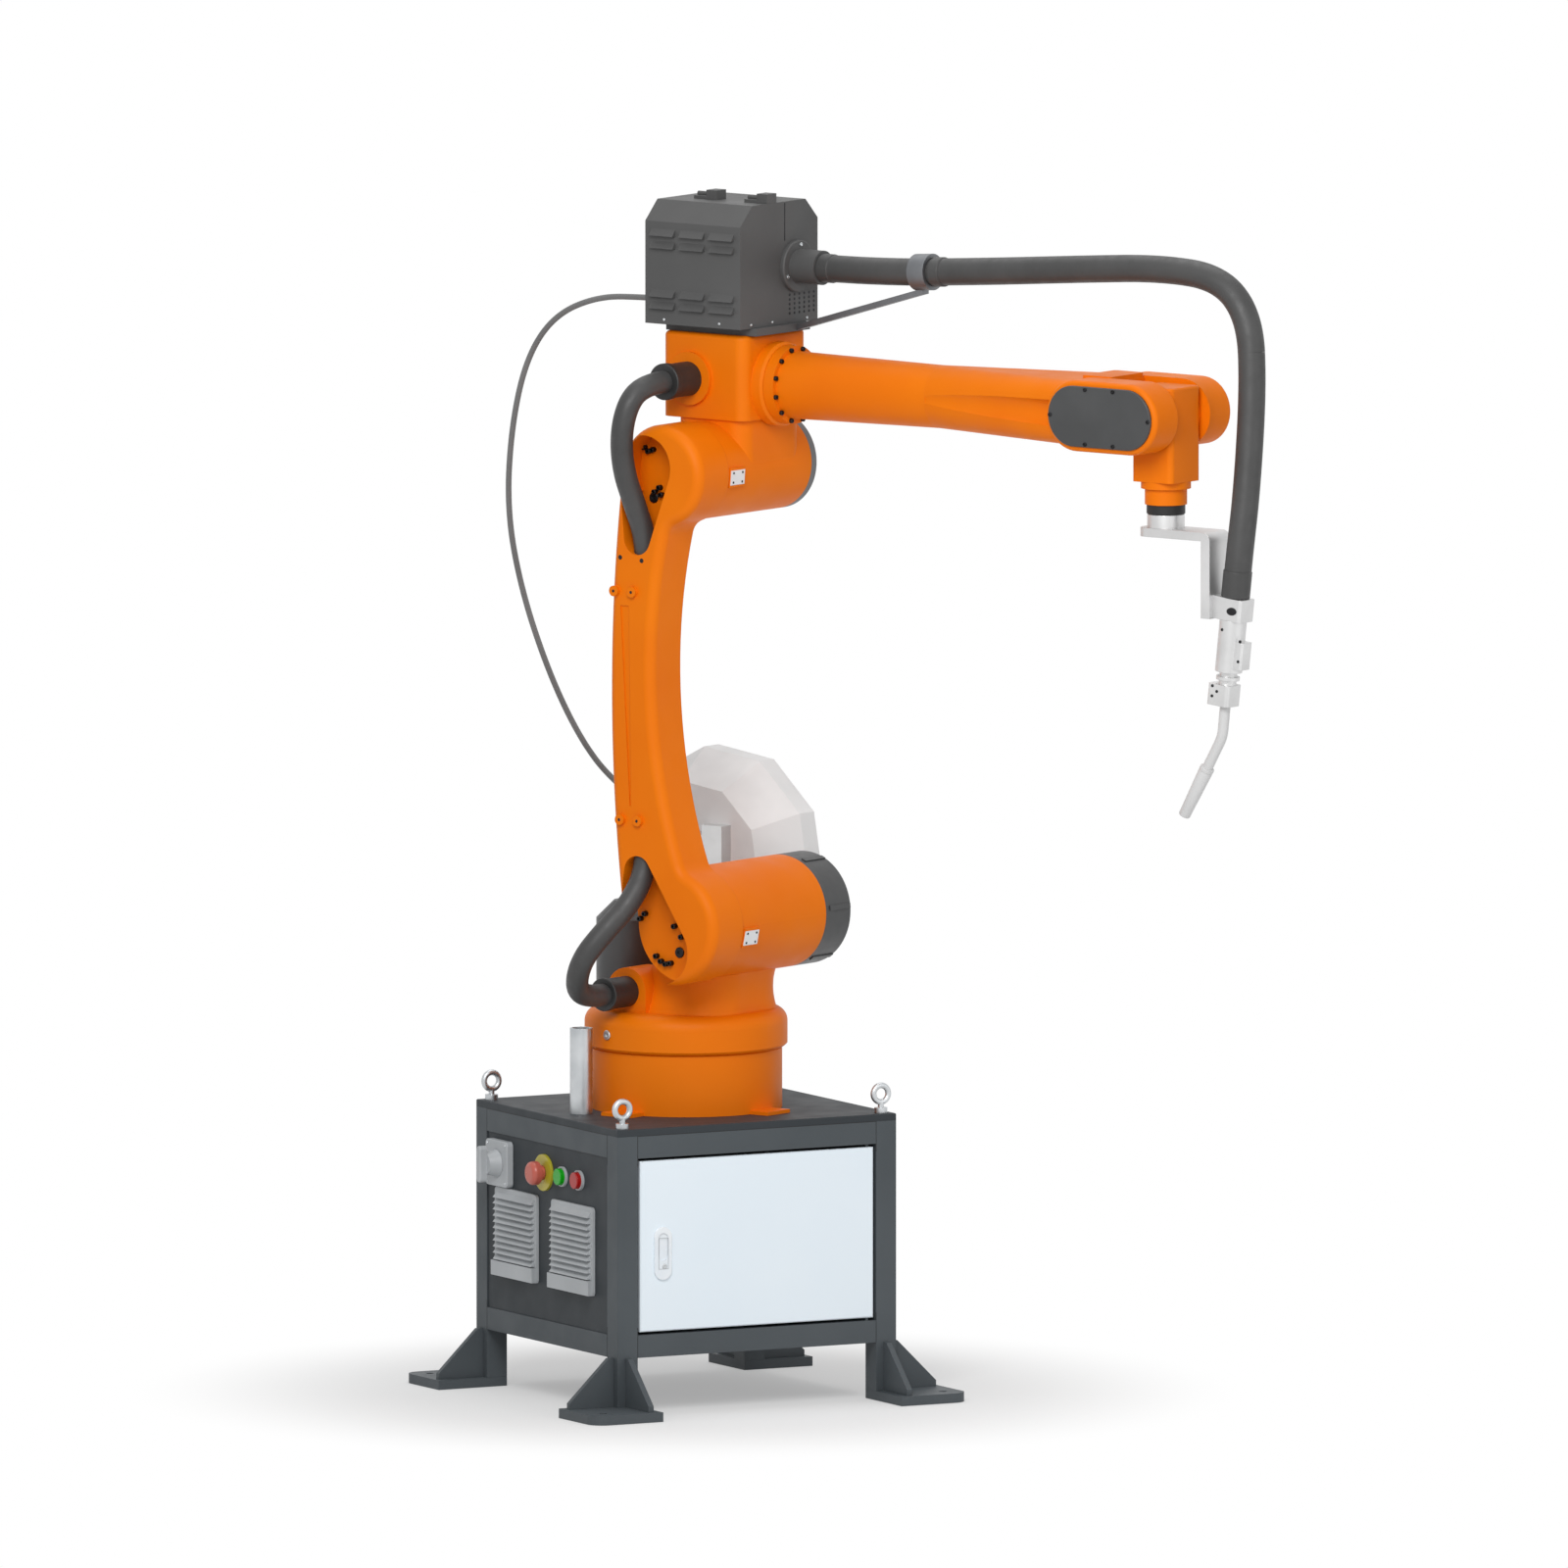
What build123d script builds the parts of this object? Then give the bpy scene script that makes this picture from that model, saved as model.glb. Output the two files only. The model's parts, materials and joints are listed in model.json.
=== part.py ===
from build123d import *
import math
import os

os.makedirs("parts", exist_ok=True)

# Welding robot on a cabinet stand, in millimetres with +Z up.
# The origin is on the floor, on the slewing axis.  The door faces -Y and the vents face -X.
# The arm is drawn pointing along +X, with the lower arm on its -Y side, and is turned into place.

RUNNING_GAP = 0.3
ARM_HEADING = -65

# Stand
STAND_WIDTH = 530
STAND_DEPTH = 510
STAND_TOP = 485
TOP_PLATE_THICK = 12
TOP_PLATE_EDGE = 1.5
FRAME_TUBE = 38
BOTTOM_RAIL_BASE = 98
SHEET_THICK = 3
PANEL_INSET = 2
FOOT_SIDE = 130
FOOT_THICK = 16
FOOT_CORNER = 28
ANCHOR_BORE = 14
ANCHOR_INSET = 34
GUSSET_THICK = 10
GUSSET_RISE = 82
GUSSET_REACH = 84
GUSSET_NOSE = 10
EYE_COLLAR_RADIUS = 11
EYE_COLLAR_HEIGHT = 9
EYE_RING_RADIUS = 14
EYE_WIRE_RADIUS = 5
EYE_CENTRE_HEIGHT = 32
RISER_RADIUS = 19
RISER_BORE = 15
RISER_HEIGHT = 145
RISER_PLACE = (-205, -10)

# Door
DOOR_GAP = 5
DOOR_THICK = 18
DOOR_EDGE = 2
HINGE_PIN_RADIUS = 3
HINGE_EDGE = 10
HINGE_SETBACK = 7
HINGE_ENGAGE = 8
LATCH_HEIGHT = 90
LATCH_WIDTH = 33
LATCH_PROUD = 4
LATCH_INSET = 42
LATCH_DROP = 13
LATCH_RECESS_HEIGHT = 46
LATCH_RECESS_WIDTH = 19
LATCH_RECESS_DEPTH = 2.5

# Switches and vents on the vent panel, as (Y, Z)
SWITCH_BELOW_TOP = 99
ISOLATOR_Y = 165
ISOLATOR_SIDE = 78
ISOLATOR_THICK = 12
ISOLATOR_CORNER = 8
KNOB_RADIUS = 24
KNOB_TIP_RADIUS = 17
KNOB_HEIGHT = 20
KNOB_GRIP_LENGTH = 62
KNOB_GRIP_WIDTH = 14
KNOB_GRIP_HEIGHT = 14
E_STOP_Y = 11
E_STOP_RING_RADIUS = 31
E_STOP_RING_THICK = 5
E_STOP_STEM_RADIUS = 12
E_STOP_HEAD_RADIUS = 20
E_STOP_HEAD_HEIGHT = 16
E_STOP_STROKE = 5
BUTTON_YS = {"start": -55, "stop": -115}
BEZEL_RADIUS = 17
BEZEL_THICK = 5
BUTTON_RADIUS = 14
BUTTON_PROUD = 8
BUTTON_STROKE = 3
BUTTON_CLEARANCE = 0.5
GRILLE_SIDE = 150
GRILLE_YS = (108, -95)
GRILLE_BELOW_TOP = 215
GRILLE_BASE = 5
GRILLE_BORDER = 7
SLAT_COUNT = 13
SLAT_PROUD = 8
SLAT_FILL = 0.9

# Base and turret
BASE_RADIUS = 162
BASE_HEIGHT = 105
BASE_EDGE = 3
RING_RADIUS = 171
RING_HEIGHT = 65
RING_ROUND = 24
RING_FOOT_EDGE = 4
NECK_FOOT_LENGTH = 206
NECK_FOOT_WIDTH = 240
NECK_FOOT_CORNER = 80
NECK_FOOT_OFFSET = 40
NECK_FOOT_SINK = 6
NECK_WAIST_LENGTH = 190
NECK_WAIST_WIDTH = 204
NECK_WAIST_CORNER = 68
NECK_WAIST_OFFSET = 46
NECK_WAIST_RISE = 36
NECK_HEAD_LENGTH = 156
NECK_HEAD_CORNER = 40
NECK_HEAD_BELOW_AXIS = 22
MOTOR_LOBE_RADIUS = 62
MOTOR_LOBE_THICK = 17
SLEW_MOTOR_OFFSET = -122
SLEW_MOTOR_RADIUS = 54
SLEW_MOTOR_LENGTH = 172
MOTOR_BEVEL = 30

# Shoulder axis and lower arm
SHOULDER_FORWARD = 120
SHOULDER_RISE = 160
SHOULDER_RADIUS = 95
SHOULDER_FAR = 107
SHOULDER_CAP_LENGTH = 92
SHOULDER_CAP_RIM = 68
SHOULDER_CAP_FACE_RADIUS = 74
SHOULDER_CAP_RIB = 6
ARM_INNER = -129
ARM_THICK = 82
ARM_LOWER_RADIUS = 98
ARM_UPPER_RADIUS = 85
ARM_WAIST_BACK = 125
ARM_WAIST_FRONT = 33
ARM_FRONT_LOW = 30
ARM_FRONT_HIGH = 15
ARM_FRONT_OVERLAP = 4
ARM_THROAT = 30
ARM_EDGE_ROUND = 17
SCOOP_DEPTH = 50
SCOOP_TIP_RADIUS = 27
SCOOP_HUB_RADIUS = 54
SCOOP_MOUTH_RADIUS = 42
LOWER_SCOOP_TIP = (-64, 90)
LOWER_SCOOP_HUB = (-12, -41)
LOWER_SCOOP_MOUTH = (-74, -70)
UPPER_SCOOP_TIP = (-47, -110)
UPPER_SCOOP_HUB = (-31, 12)
UPPER_SCOOP_MOUTH = (-36, 14)
HOSE_DIAMETER = 38
HOSE_BORE_CLEARANCE = 1
HOSE_BORE_DEPTH = 34
HOSE_LANE = -186
ARM_BOSS_RADIUS = 9
ARM_BOSS_PROUD = 7
ARM_BOSS_SPREAD = 37
LOWER_BOSS_PLACE = (-78, 177)
UPPER_BOSS_PLACE = (-73, -200)
GROOVE_MARGIN = 24
GROOVE_WIDTH = 18
GROOVE_TIP_WIDTH = 3
GROOVE_DEPTH = 2.5

# Elbow axis, elbow housing and forearm
ELBOW_FORWARD = 103
ELBOW_RISE = 763
ELBOW_RADIUS = 82
ELBOW_FAR = 106
ELBOW_CAP_LENGTH = 20
ELBOW_CAP_BEVEL = 6
FOREARM_RISE = 144
HEAD_BACK_REACH = 88
HEAD_FRONT_REACH = 87
HEAD_WIDTH = 180
HEAD_ABOVE = 86
HEAD_BELOW = 58
HEAD_ROUND = 20
HEAD_TOP_ROUND = 8
HEAD_NECK_LENGTH = 146
HEAD_NECK_WIDTH = 170
HEAD_NECK_ROUND = 30
HEAD_NECK_INSET = 1
HEAD_RIM_RADIUS = 71
HEAD_RIM_THICK = 22
HEAD_RIM_EDGE = 4
FOREARM_FLANGE_RADIUS = 66
FOREARM_FLANGE_THICK = 20
FOREARM_ROOT_RADIUS = 57
FOREARM_RADIUS = 53
FOREARM_LENGTH = 904
SWELL_REACH = 467
FORK_BACK_REACH = 157
FORK_FRONT_REACH = 79
FORK_REAR_REACH = 111
FORK_HALF_WIDTH = 109
FORK_RIM_RADIUS = 60
FORK_FAR_RADIUS = 57
FORK_BASE_HALF_HEIGHT = 54
FORK_SHOULDER_HALF_WIDTH = 98
FORK_SHOULDER_ROUND = 30
FORK_ROUND = 8
FLUTE_RADIUS = 24
FLUTE_START_DEPTH = 1
FLUTE_END_DEPTH = 15
BELT_COVER_MARGIN = 7
BELT_COVER_THICK = 5
BRIDGE_PAD_LENGTH = 62
BRIDGE_PAD_WIDTH = 96
BRIDGE_PAD_THICK = 8

# Wrist and tool flange
WRIST_HALF = 42
WRIST_SIDE_GAP = 5
WRIST_ABOVE = 49
WRIST_BELOW = 111
WRIST_ROUND = 10
TRUNNION_RADIUS = 38
COLLAR_RADIUS = 42
COLLAR_THICK = 12
FLANGE_RADIUS = 35.5
FLANGE_DROP = 39
TOOL_RING_RADIUS = 32.5
TOOL_RING_THICK = 15
ADAPTOR_RADIUS = 31.5
ADAPTOR_THICK = 24

# Torch
BRACKET_BACK_REACH = 41
BRACKET_PLATE = 15
BRACKET_WIDTH = 60
BRACKET_LEG = 18
BRACKET_LEG_REACH = 113
BRACKET_DROP = 144.7
BRACKET_BEND = 16
TORCH_GAP = 32
TORCH_ABOVE_FOOT = 36
TORCH_LEAN = 6.5
TORCH_CLAMP_WIDTH = 42
TORCH_CLAMP_HEIGHT = 38
TORCH_CLAMP_FRONT = 27
TORCH_BODY_RADIUS = 23
TORCH_BODY_LENGTH = 88
TORCH_SIDE_REACH = 34
TORCH_SIDE_WIDTH = 28
TORCH_SIDE_HEIGHT = 46
TORCH_SIDE_RISE = 8
TORCH_WAIST_RADIUS = 15
TORCH_WAIST_LENGTH = 22
TORCH_WAIST_RING_RADIUS = 20
TORCH_WAIST_RING_THICK = 6
TORCH_FOOT_WIDTH = 44
TORCH_FOOT_DEPTH = 40
TORCH_FOOT_LENGTH = 36
TORCH_FOOT_SETBACK = 5
NECK_DIAMETER = 18
NECK_STRAIGHT = 54
NECK_BEND_RADIUS = 58
NECK_ANGLE = 30
NECK_TAIL = 62
NOZZLE_RADIUS = 12.5
NOZZLE_TIP_RADIUS = 10
NOZZLE_LENGTH = 97
NOZZLE_BORE = 7.5
NOZZLE_BORE_DEPTH = 30

# Wire feeder on the elbow housing
FEEDER_OVERHANG = 19
FEEDER_LENGTH = 200
FEEDER_WIDTH = 216
FEEDER_HEIGHT = 207
FEEDER_CHAMFER = 34
FEEDER_BASE_THICK = 13
FEEDER_BASE_WIDTH = 150
FEEDER_BASE_LIP = 9
LOUVRE_LENGTH = 50
LOUVRE_RISE = 12
LOUVRE_PROUD = 9
LOUVRE_PITCH = 62
LOUVRE_ROWS = (46, 67, 149, 169)
FEEDER_LATCH_SPACING = 106
FEEDER_LATCH_SIDE = -20
FEEDER_LATCH_LENGTH = 48
FEEDER_LATCH_WIDTH = 26
FEEDER_LATCH_RISE = 16
FEEDER_LATCH_GRIP = 22
OUTLET_SIDE = 47
OUTLET_RISE = 96
OUTLET_FLANGE_RADIUS = 44
OUTLET_FLANGE_THICK = 8
OUTLET_SLEEVE_RADIUS = 29
OUTLET_SLEEVE_LENGTH = 58
CLAMP_REACH = 272
CLAMP_LENGTH = 34
CLAMP_WALL = 7
CLAMP_CLEARANCE = 0.8
STRUT_WIDTH = 20
STRUT_THICK = 10

# Wire spool beside the turret
SPOOL_FORWARD = -149
SPOOL_RISE = 212
SPOOL_NEAR = 215
SPOOL_SIDES = 10
SPOOL_TURN = 27.5
SPOOL_FACE_RADIUS = 140
SPOOL_RADIUS = 192
SPOOL_BACK_RADIUS = 150
SPOOL_SLOPE = 75
SPOOL_BAND = 40
SPOOL_BACK_SLOPE = 35
SPOOL_PLATE = 12
SPOOL_HUB_RADIUS = 58
SPOOL_INLET_RADIUS = 9
SPOOL_INLET_LENGTH = 46
SPOOL_ARM_BACK = -110
SPOOL_ARM_FRONT = -68
SPOOL_ARM_RISE = 36
SPOOL_ARM_START = 66
SPOOL_POST_RISE = 282
SPOOL_POST_DEPTH = 26

# Hose glands
GLAND_RIM = 2
GLAND_RIM_LENGTH = 12
LOWER_GLAND_FORWARD = -32
LOWER_GLAND_RISE = 34
LOWER_GLAND_SEAT = -124
LOWER_GLAND_LENGTH = 66
LOWER_GLAND_RADIUS = 26
GLAND_BLOCK_RADIUS = 40
GLAND_BLOCK_START = -60
UPPER_GLAND_SETBACK = 25
UPPER_GLAND_RISE = 9
UPPER_GLAND_LENGTH = 68
UPPER_GLAND_RADIUS = 29
UPPER_BOSS_RADIUS = 45
UPPER_BOSS_PROUD = 8

# Cable routes, as points (forward, side, height) of the arm
TORCH_CABLE_DIAMETER = 46
CONDUIT_DIAMETER = 10
TORCH_CABLE_ROUTE = [
    (254, 47, 1917),
    (375, 47, 1917),
    (600, 47, 1933),
    (790, 47, 1949),
    (960, 47, 1962),
    (1086, 47, 1953),
    (1148, 45, 1890),
    (1160, 38, 1775),
    (1164, 16, 1606),
    (1160, 0, 1494),
    (1152, 0, 1424.3),
]
CONDUIT_ROUTE = [
    (-4, 0, 1850),
    (-90, 0, 1850),
    (-190, 5, 1844),
    (-285, 10, 1806),
    (-350, 18, 1730),
    (-390, 28, 1610),
    (-412, 44, 1464),
    (-416, 90, 1322),
    (-402, 150, 1175),
    (-378, 205, 1062),
    (-350, 255, 990),
    (-322, 300, 950),
]
UPPER_HOSE_ROUTE = [
    (78, -166, 1731),
    (78, -204, 1731),
    (66, -240, 1712),
    (54, -252, 1658),
    (48, -240, 1590),
    (50, -208, 1524),
    (56, -186, 1468),
    (56, -186, 1430),
]
LOWER_HOSE_ROUTE = [
    (-32, -190, 689),
    (-32, -236, 689),
    (-25, -276, 711),
    (-2, -288, 760),
    (26, -264, 806),
    (50, -222, 852),
    (56, -186, 905),
    (56, -186, 945),
]

arm_place = Location((0, 0, 0), (0, 0, ARM_HEADING))

# Heights, each built on the one below it
base_top = STAND_TOP + BASE_HEIGHT
ring_top = base_top + RING_HEIGHT
slew_motor_top = ring_top + SLEW_MOTOR_LENGTH
shoulder_height = ring_top + SHOULDER_RISE
elbow_height = shoulder_height + ELBOW_RISE
forearm_height = elbow_height + FOREARM_RISE
head_top = forearm_height + HEAD_ABOVE
head_base = forearm_height - HEAD_BELOW
feeder_base_top = head_top + FEEDER_BASE_THICK
feeder_top = feeder_base_top + FEEDER_HEIGHT
wrist_top = forearm_height + WRIST_ABOVE
wrist_base = forearm_height - WRIST_BELOW
flange_base = wrist_base - FLANGE_DROP
tool_ring_top = flange_base - RUNNING_GAP
adaptor_top = tool_ring_top - TOOL_RING_THICK
bracket_top = adaptor_top - ADAPTOR_THICK
bracket_foot = bracket_top - BRACKET_DROP
torch_top = bracket_foot + TORCH_ABOVE_FOOT
spool_height = ring_top + SPOOL_RISE
switch_height = STAND_TOP - SWITCH_BELOW_TOP
grille_height = STAND_TOP - GRILLE_BELOW_TOP

# Forward distances along the arm, each measured from the axis that carries it
head_back = ELBOW_FORWARD - HEAD_BACK_REACH
head_front = ELBOW_FORWARD + HEAD_FRONT_REACH
wrist_forward = ELBOW_FORWARD + FOREARM_LENGTH
swell_start = wrist_forward - SWELL_REACH
fork_back = wrist_forward - FORK_BACK_REACH
fork_front = wrist_forward - FORK_FRONT_REACH
fork_rear_centre = wrist_forward - FORK_REAR_REACH
bracket_back = wrist_forward - BRACKET_BACK_REACH
leg_front = wrist_forward + BRACKET_LEG_REACH
leg_back = leg_front - BRACKET_LEG
torch_forward = leg_front + TORCH_GAP
feeder_back = head_back - FEEDER_OVERHANG
feeder_front = feeder_back + FEEDER_LENGTH
feeder_middle = feeder_back + FEEDER_LENGTH / 2
feeder_base_front = feeder_front + FEEDER_BASE_LIP
outlet_end = feeder_front + OUTLET_SLEEVE_LENGTH
clamp_forward = feeder_front + CLAMP_REACH

# Places in the arm's upright plane, as (forward, height)
shoulder_place = (SHOULDER_FORWARD, shoulder_height)
elbow_place = (ELBOW_FORWARD, elbow_height)
wrist_place = (wrist_forward, forearm_height)
outlet_place = (OUTLET_SIDE, feeder_base_top + OUTLET_RISE)
spool_place = (SPOOL_FORWARD, spool_height)
lower_gland_place = (LOWER_GLAND_FORWARD, ring_top + LOWER_GLAND_RISE)
upper_gland_place = (ELBOW_FORWARD - UPPER_GLAND_SETBACK, forearm_height + UPPER_GLAND_RISE)


def save(piece, label, place=Location()):
    """Set a finished piece at its place and write it under its own name."""
    placed = piece.part.moved(place)
    placed.label = label
    export_step(placed, f"parts/{label}.step")


def across(side):
    """Upright plane along the arm at a sideways distance, facing the lower arm's side."""
    return Plane.XZ.offset(-side)


def ahead(forward):
    """Upright plane square to the arm at a forward distance, facing forward."""
    return Plane.YZ.offset(forward)


def halfway(start, end):
    """Point in the middle of one run of a route."""
    return tuple((a + b) / 2 for a, b in zip(start, end))


def bend_radii(points):
    """The largest arc that each corner of a route has room for."""
    radii = []
    for before, corner, after in zip(points, points[1:], points[2:]):
        run_in = Vector(*corner) - Vector(*before)
        run_out = Vector(*after) - Vector(*corner)
        half_turn = math.radians(run_in.get_angle(run_out)) / 2
        radii.append(0.45 * min(run_in.length, run_out.length) / math.tan(half_turn))
    return radii


def cord_tube(points, diameter, name):
    """Round tube along a route of straight runs and tangent arcs."""
    radii = bend_radii(points)
    with BuildPart() as tube:
        with BuildLine():
            route = FilletPolyline(*points, radius=radii)
        with BuildSketch(Plane(origin=route @ 0, z_dir=route % 0)):
            Circle(diameter / 2)
        sweep()
    expected = math.pi * diameter**2 / 4 * route.length
    print(f"{name}: length {route.length:.0f}, radii {[round(r) for r in radii]}, "
          f"volume {tube.part.volume / expected:.3f} of section times length")
    return tube


# Stand frame
half_width = STAND_WIDTH / 2
half_depth = STAND_DEPTH / 2
rail_top = STAND_TOP - TOP_PLATE_THICK
top_rail_base = rail_top - FRAME_TUBE
bay_base = BOTTOM_RAIL_BASE + FRAME_TUBE
bay_height = top_rail_base - bay_base
bay_middle = (bay_base + top_rail_base) / 2
bay_width = STAND_WIDTH - 2 * FRAME_TUBE
bay_depth = STAND_DEPTH - 2 * FRAME_TUBE
post_x = half_width - FRAME_TUBE / 2
post_y = half_depth - FRAME_TUBE / 2
hinge_x = bay_width / 2 - DOOR_GAP - HINGE_EDGE
hinge_y = -half_depth + HINGE_SETBACK
hinge_pin_length = DOOR_GAP + HINGE_ENGAGE

with BuildPart() as corner_posts:
    with BuildSketch(Plane.XY.offset(FOOT_THICK)):
        with GridLocations(2 * post_x, 2 * post_y, 2, 2):
            Rectangle(FRAME_TUBE, FRAME_TUBE)
    extrude(amount=rail_top - FOOT_THICK)
save(corner_posts, "corner_posts")


def rail_ring(base, pin_base):
    """Four rails between the posts, with one of the door's hinge pins on the front rail."""
    with BuildPart() as ring:
        with BuildSketch(Plane.XY.offset(base)):
            with GridLocations(0, 2 * post_y, 1, 2):
                Rectangle(bay_width, FRAME_TUBE)
            with GridLocations(2 * post_x, 0, 2, 1):
                Rectangle(FRAME_TUBE, bay_depth)
        extrude(amount=FRAME_TUBE)
        with BuildSketch(Plane.XY.offset(pin_base)):
            with Locations((hinge_x, hinge_y)):
                Circle(HINGE_PIN_RADIUS)
        extrude(amount=hinge_pin_length)
    return ring


save(rail_ring(top_rail_base, top_rail_base - hinge_pin_length), "top_rails")
save(rail_ring(BOTTOM_RAIL_BASE, bay_base), "bottom_rails")

with BuildPart() as top_plate:
    with BuildSketch(Plane.XY.offset(rail_top)):
        Rectangle(STAND_WIDTH, STAND_DEPTH)
    extrude(amount=TOP_PLATE_THICK)
    chamfer(top_plate.faces().sort_by(Axis.Z)[-1].edges(), length=TOP_PLATE_EDGE)
save(top_plate, "top_plate")

with BuildPart() as floor_panel:
    with BuildSketch(Plane.XY.offset(bay_base - SHEET_THICK)):
        Rectangle(bay_width, bay_depth)
    extrude(amount=SHEET_THICK)
save(floor_panel, "floor_panel")

vent_face = -half_width + PANEL_INSET
with BuildPart() as vent_panel:
    with BuildSketch(Plane.YZ.offset(vent_face)):
        with Locations((0, bay_middle)):
            Rectangle(bay_depth, bay_height)
    extrude(amount=SHEET_THICK)
save(vent_panel, "vent_panel")

with BuildPart() as side_panel:
    with BuildSketch(Plane.YZ.offset(half_width - PANEL_INSET - SHEET_THICK)):
        with Locations((0, bay_middle)):
            Rectangle(bay_depth, bay_height)
    extrude(amount=SHEET_THICK)
save(side_panel, "side_panel")

with BuildPart() as back_panel:
    with BuildSketch(Plane.XZ.offset(-half_depth + PANEL_INSET)):
        with Locations((0, bay_middle)):
            Rectangle(bay_width, bay_height)
    extrude(amount=SHEET_THICK)
save(back_panel, "back_panel")

# Feet: each plate starts at its post's inner corner and reaches outwards both ways
foot_x = half_width - FRAME_TUBE + FOOT_SIDE / 2
foot_y = half_depth - FRAME_TUBE + FOOT_SIDE / 2
anchor_x = half_width - FRAME_TUBE + FOOT_SIDE - ANCHOR_INSET
anchor_y = half_depth - FRAME_TUBE + FOOT_SIDE - ANCHOR_INSET
with BuildPart() as foot_plates:
    with BuildSketch():
        with GridLocations(2 * foot_x, 2 * foot_y, 2, 2):
            Rectangle(FOOT_SIDE, FOOT_SIDE)
    extrude(amount=FOOT_THICK)
    upright_edges = foot_plates.edges().filter_by(Axis.Z)
    outer_corners = upright_edges.sort_by_distance((0, 0, FOOT_THICK / 2))[-4:]
    fillet(outer_corners, radius=FOOT_CORNER)
    with Locations((0, 0, FOOT_THICK)):
        with GridLocations(2 * anchor_x, 2 * anchor_y, 2, 2):
            Hole(ANCHOR_BORE / 2, depth=FOOT_THICK)
save(foot_plates, "foot_plates")

with BuildPart() as gussets:
    for side_x in (-1, 1):
        for side_y in (-1, 1):
            foot_x_edge = (side_x * half_width, side_y * post_y, FOOT_THICK)
            foot_y_edge = (side_x * post_x, side_y * half_depth, FOOT_THICK)
            web_x = Plane(foot_x_edge, (side_x, 0, 0), (0, -side_x, 0))
            web_y = Plane(foot_y_edge, (0, side_y, 0), (side_y, 0, 0))
            for web in (web_x, web_y):
                with BuildSketch(web):
                    with BuildLine():
                        Polyline(
                            (0, 0),
                            (GUSSET_REACH, 0),
                            (GUSSET_REACH, GUSSET_NOSE),
                            (GUSSET_NOSE, GUSSET_RISE),
                            (0, GUSSET_RISE),
                            close=True,
                        )
                    make_face()
                extrude(amount=GUSSET_THICK / 2, both=True)
save(gussets, "gussets")

with BuildPart(Plane.XY.offset(STAND_TOP)) as eye_bolts:
    with GridLocations(2 * post_x, 2 * post_y, 2, 2):
        Cylinder(EYE_COLLAR_RADIUS, EYE_COLLAR_HEIGHT, align=(Align.CENTER, Align.CENTER, Align.MIN))
        with Locations((0, 0, EYE_CENTRE_HEIGHT)):
            Torus(EYE_RING_RADIUS, EYE_WIRE_RADIUS, rotation=(90, 0, 0))
        Cylinder(
            EYE_WIRE_RADIUS,
            EYE_CENTRE_HEIGHT - EYE_RING_RADIUS,
            align=(Align.CENTER, Align.CENTER, Align.MIN),
        )
save(eye_bolts, "eye_bolts")

with BuildPart() as cable_riser:
    with BuildSketch(Plane.XY.offset(STAND_TOP)):
        with Locations(RISER_PLACE):
            Circle(RISER_RADIUS)
            Circle(RISER_BORE, mode=Mode.SUBTRACT)
    extrude(amount=RISER_HEIGHT)
save(cable_riser, "cable_riser")

# Door, closed at rest
door_width = bay_width - 2 * DOOR_GAP
door_base = bay_base + DOOR_GAP
door_height = bay_height - 2 * DOOR_GAP
with BuildPart() as door:
    with BuildSketch(Plane.XZ.offset(half_depth)):
        with Locations((0, bay_middle)):
            Rectangle(door_width, door_height)
    extrude(amount=-DOOR_THICK)
    chamfer(door.faces().sort_by(Axis.Y)[0].edges(), length=DOOR_EDGE)
    for hole_mouth in (Plane.XY.offset(door_base), Plane.XY.offset(door_base + door_height - HINGE_ENGAGE)):
        with BuildSketch(hole_mouth):
            with Locations((hinge_x, hinge_y)):
                Circle(HINGE_PIN_RADIUS + RUNNING_GAP)
        extrude(amount=HINGE_ENGAGE, mode=Mode.SUBTRACT)
save(door, "door")

latch_place = (-door_width / 2 + LATCH_INSET, bay_middle - LATCH_DROP)
with BuildPart() as door_latch:
    with BuildSketch(Plane.XZ.offset(half_depth)):
        with Locations(latch_place):
            SlotOverall(LATCH_HEIGHT, LATCH_WIDTH, rotation=90)
    extrude(amount=LATCH_PROUD)
    fillet(door_latch.faces().sort_by(Axis.Y)[0].edges(), radius=LATCH_PROUD / 3)
    with BuildSketch(Plane.XZ.offset(half_depth + LATCH_PROUD)):
        with Locations((latch_place[0], latch_place[1] + LATCH_HEIGHT / 8)):
            SlotOverall(LATCH_RECESS_HEIGHT, LATCH_RECESS_WIDTH, rotation=90)
    extrude(amount=-LATCH_RECESS_DEPTH, mode=Mode.SUBTRACT)
save(door_latch, "door_latch")

# Switches: outward from the vent panel is -X
with BuildPart() as isolator_plate:
    with BuildSketch(Plane.YZ.offset(vent_face)):
        with Locations((ISOLATOR_Y, switch_height)):
            RectangleRounded(ISOLATOR_SIDE, ISOLATOR_SIDE, ISOLATOR_CORNER)
    extrude(amount=-ISOLATOR_THICK)
    fillet(isolator_plate.faces().sort_by(Axis.X)[0].edges(), radius=ISOLATOR_THICK / 6)
save(isolator_plate, "isolator_plate")

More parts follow.
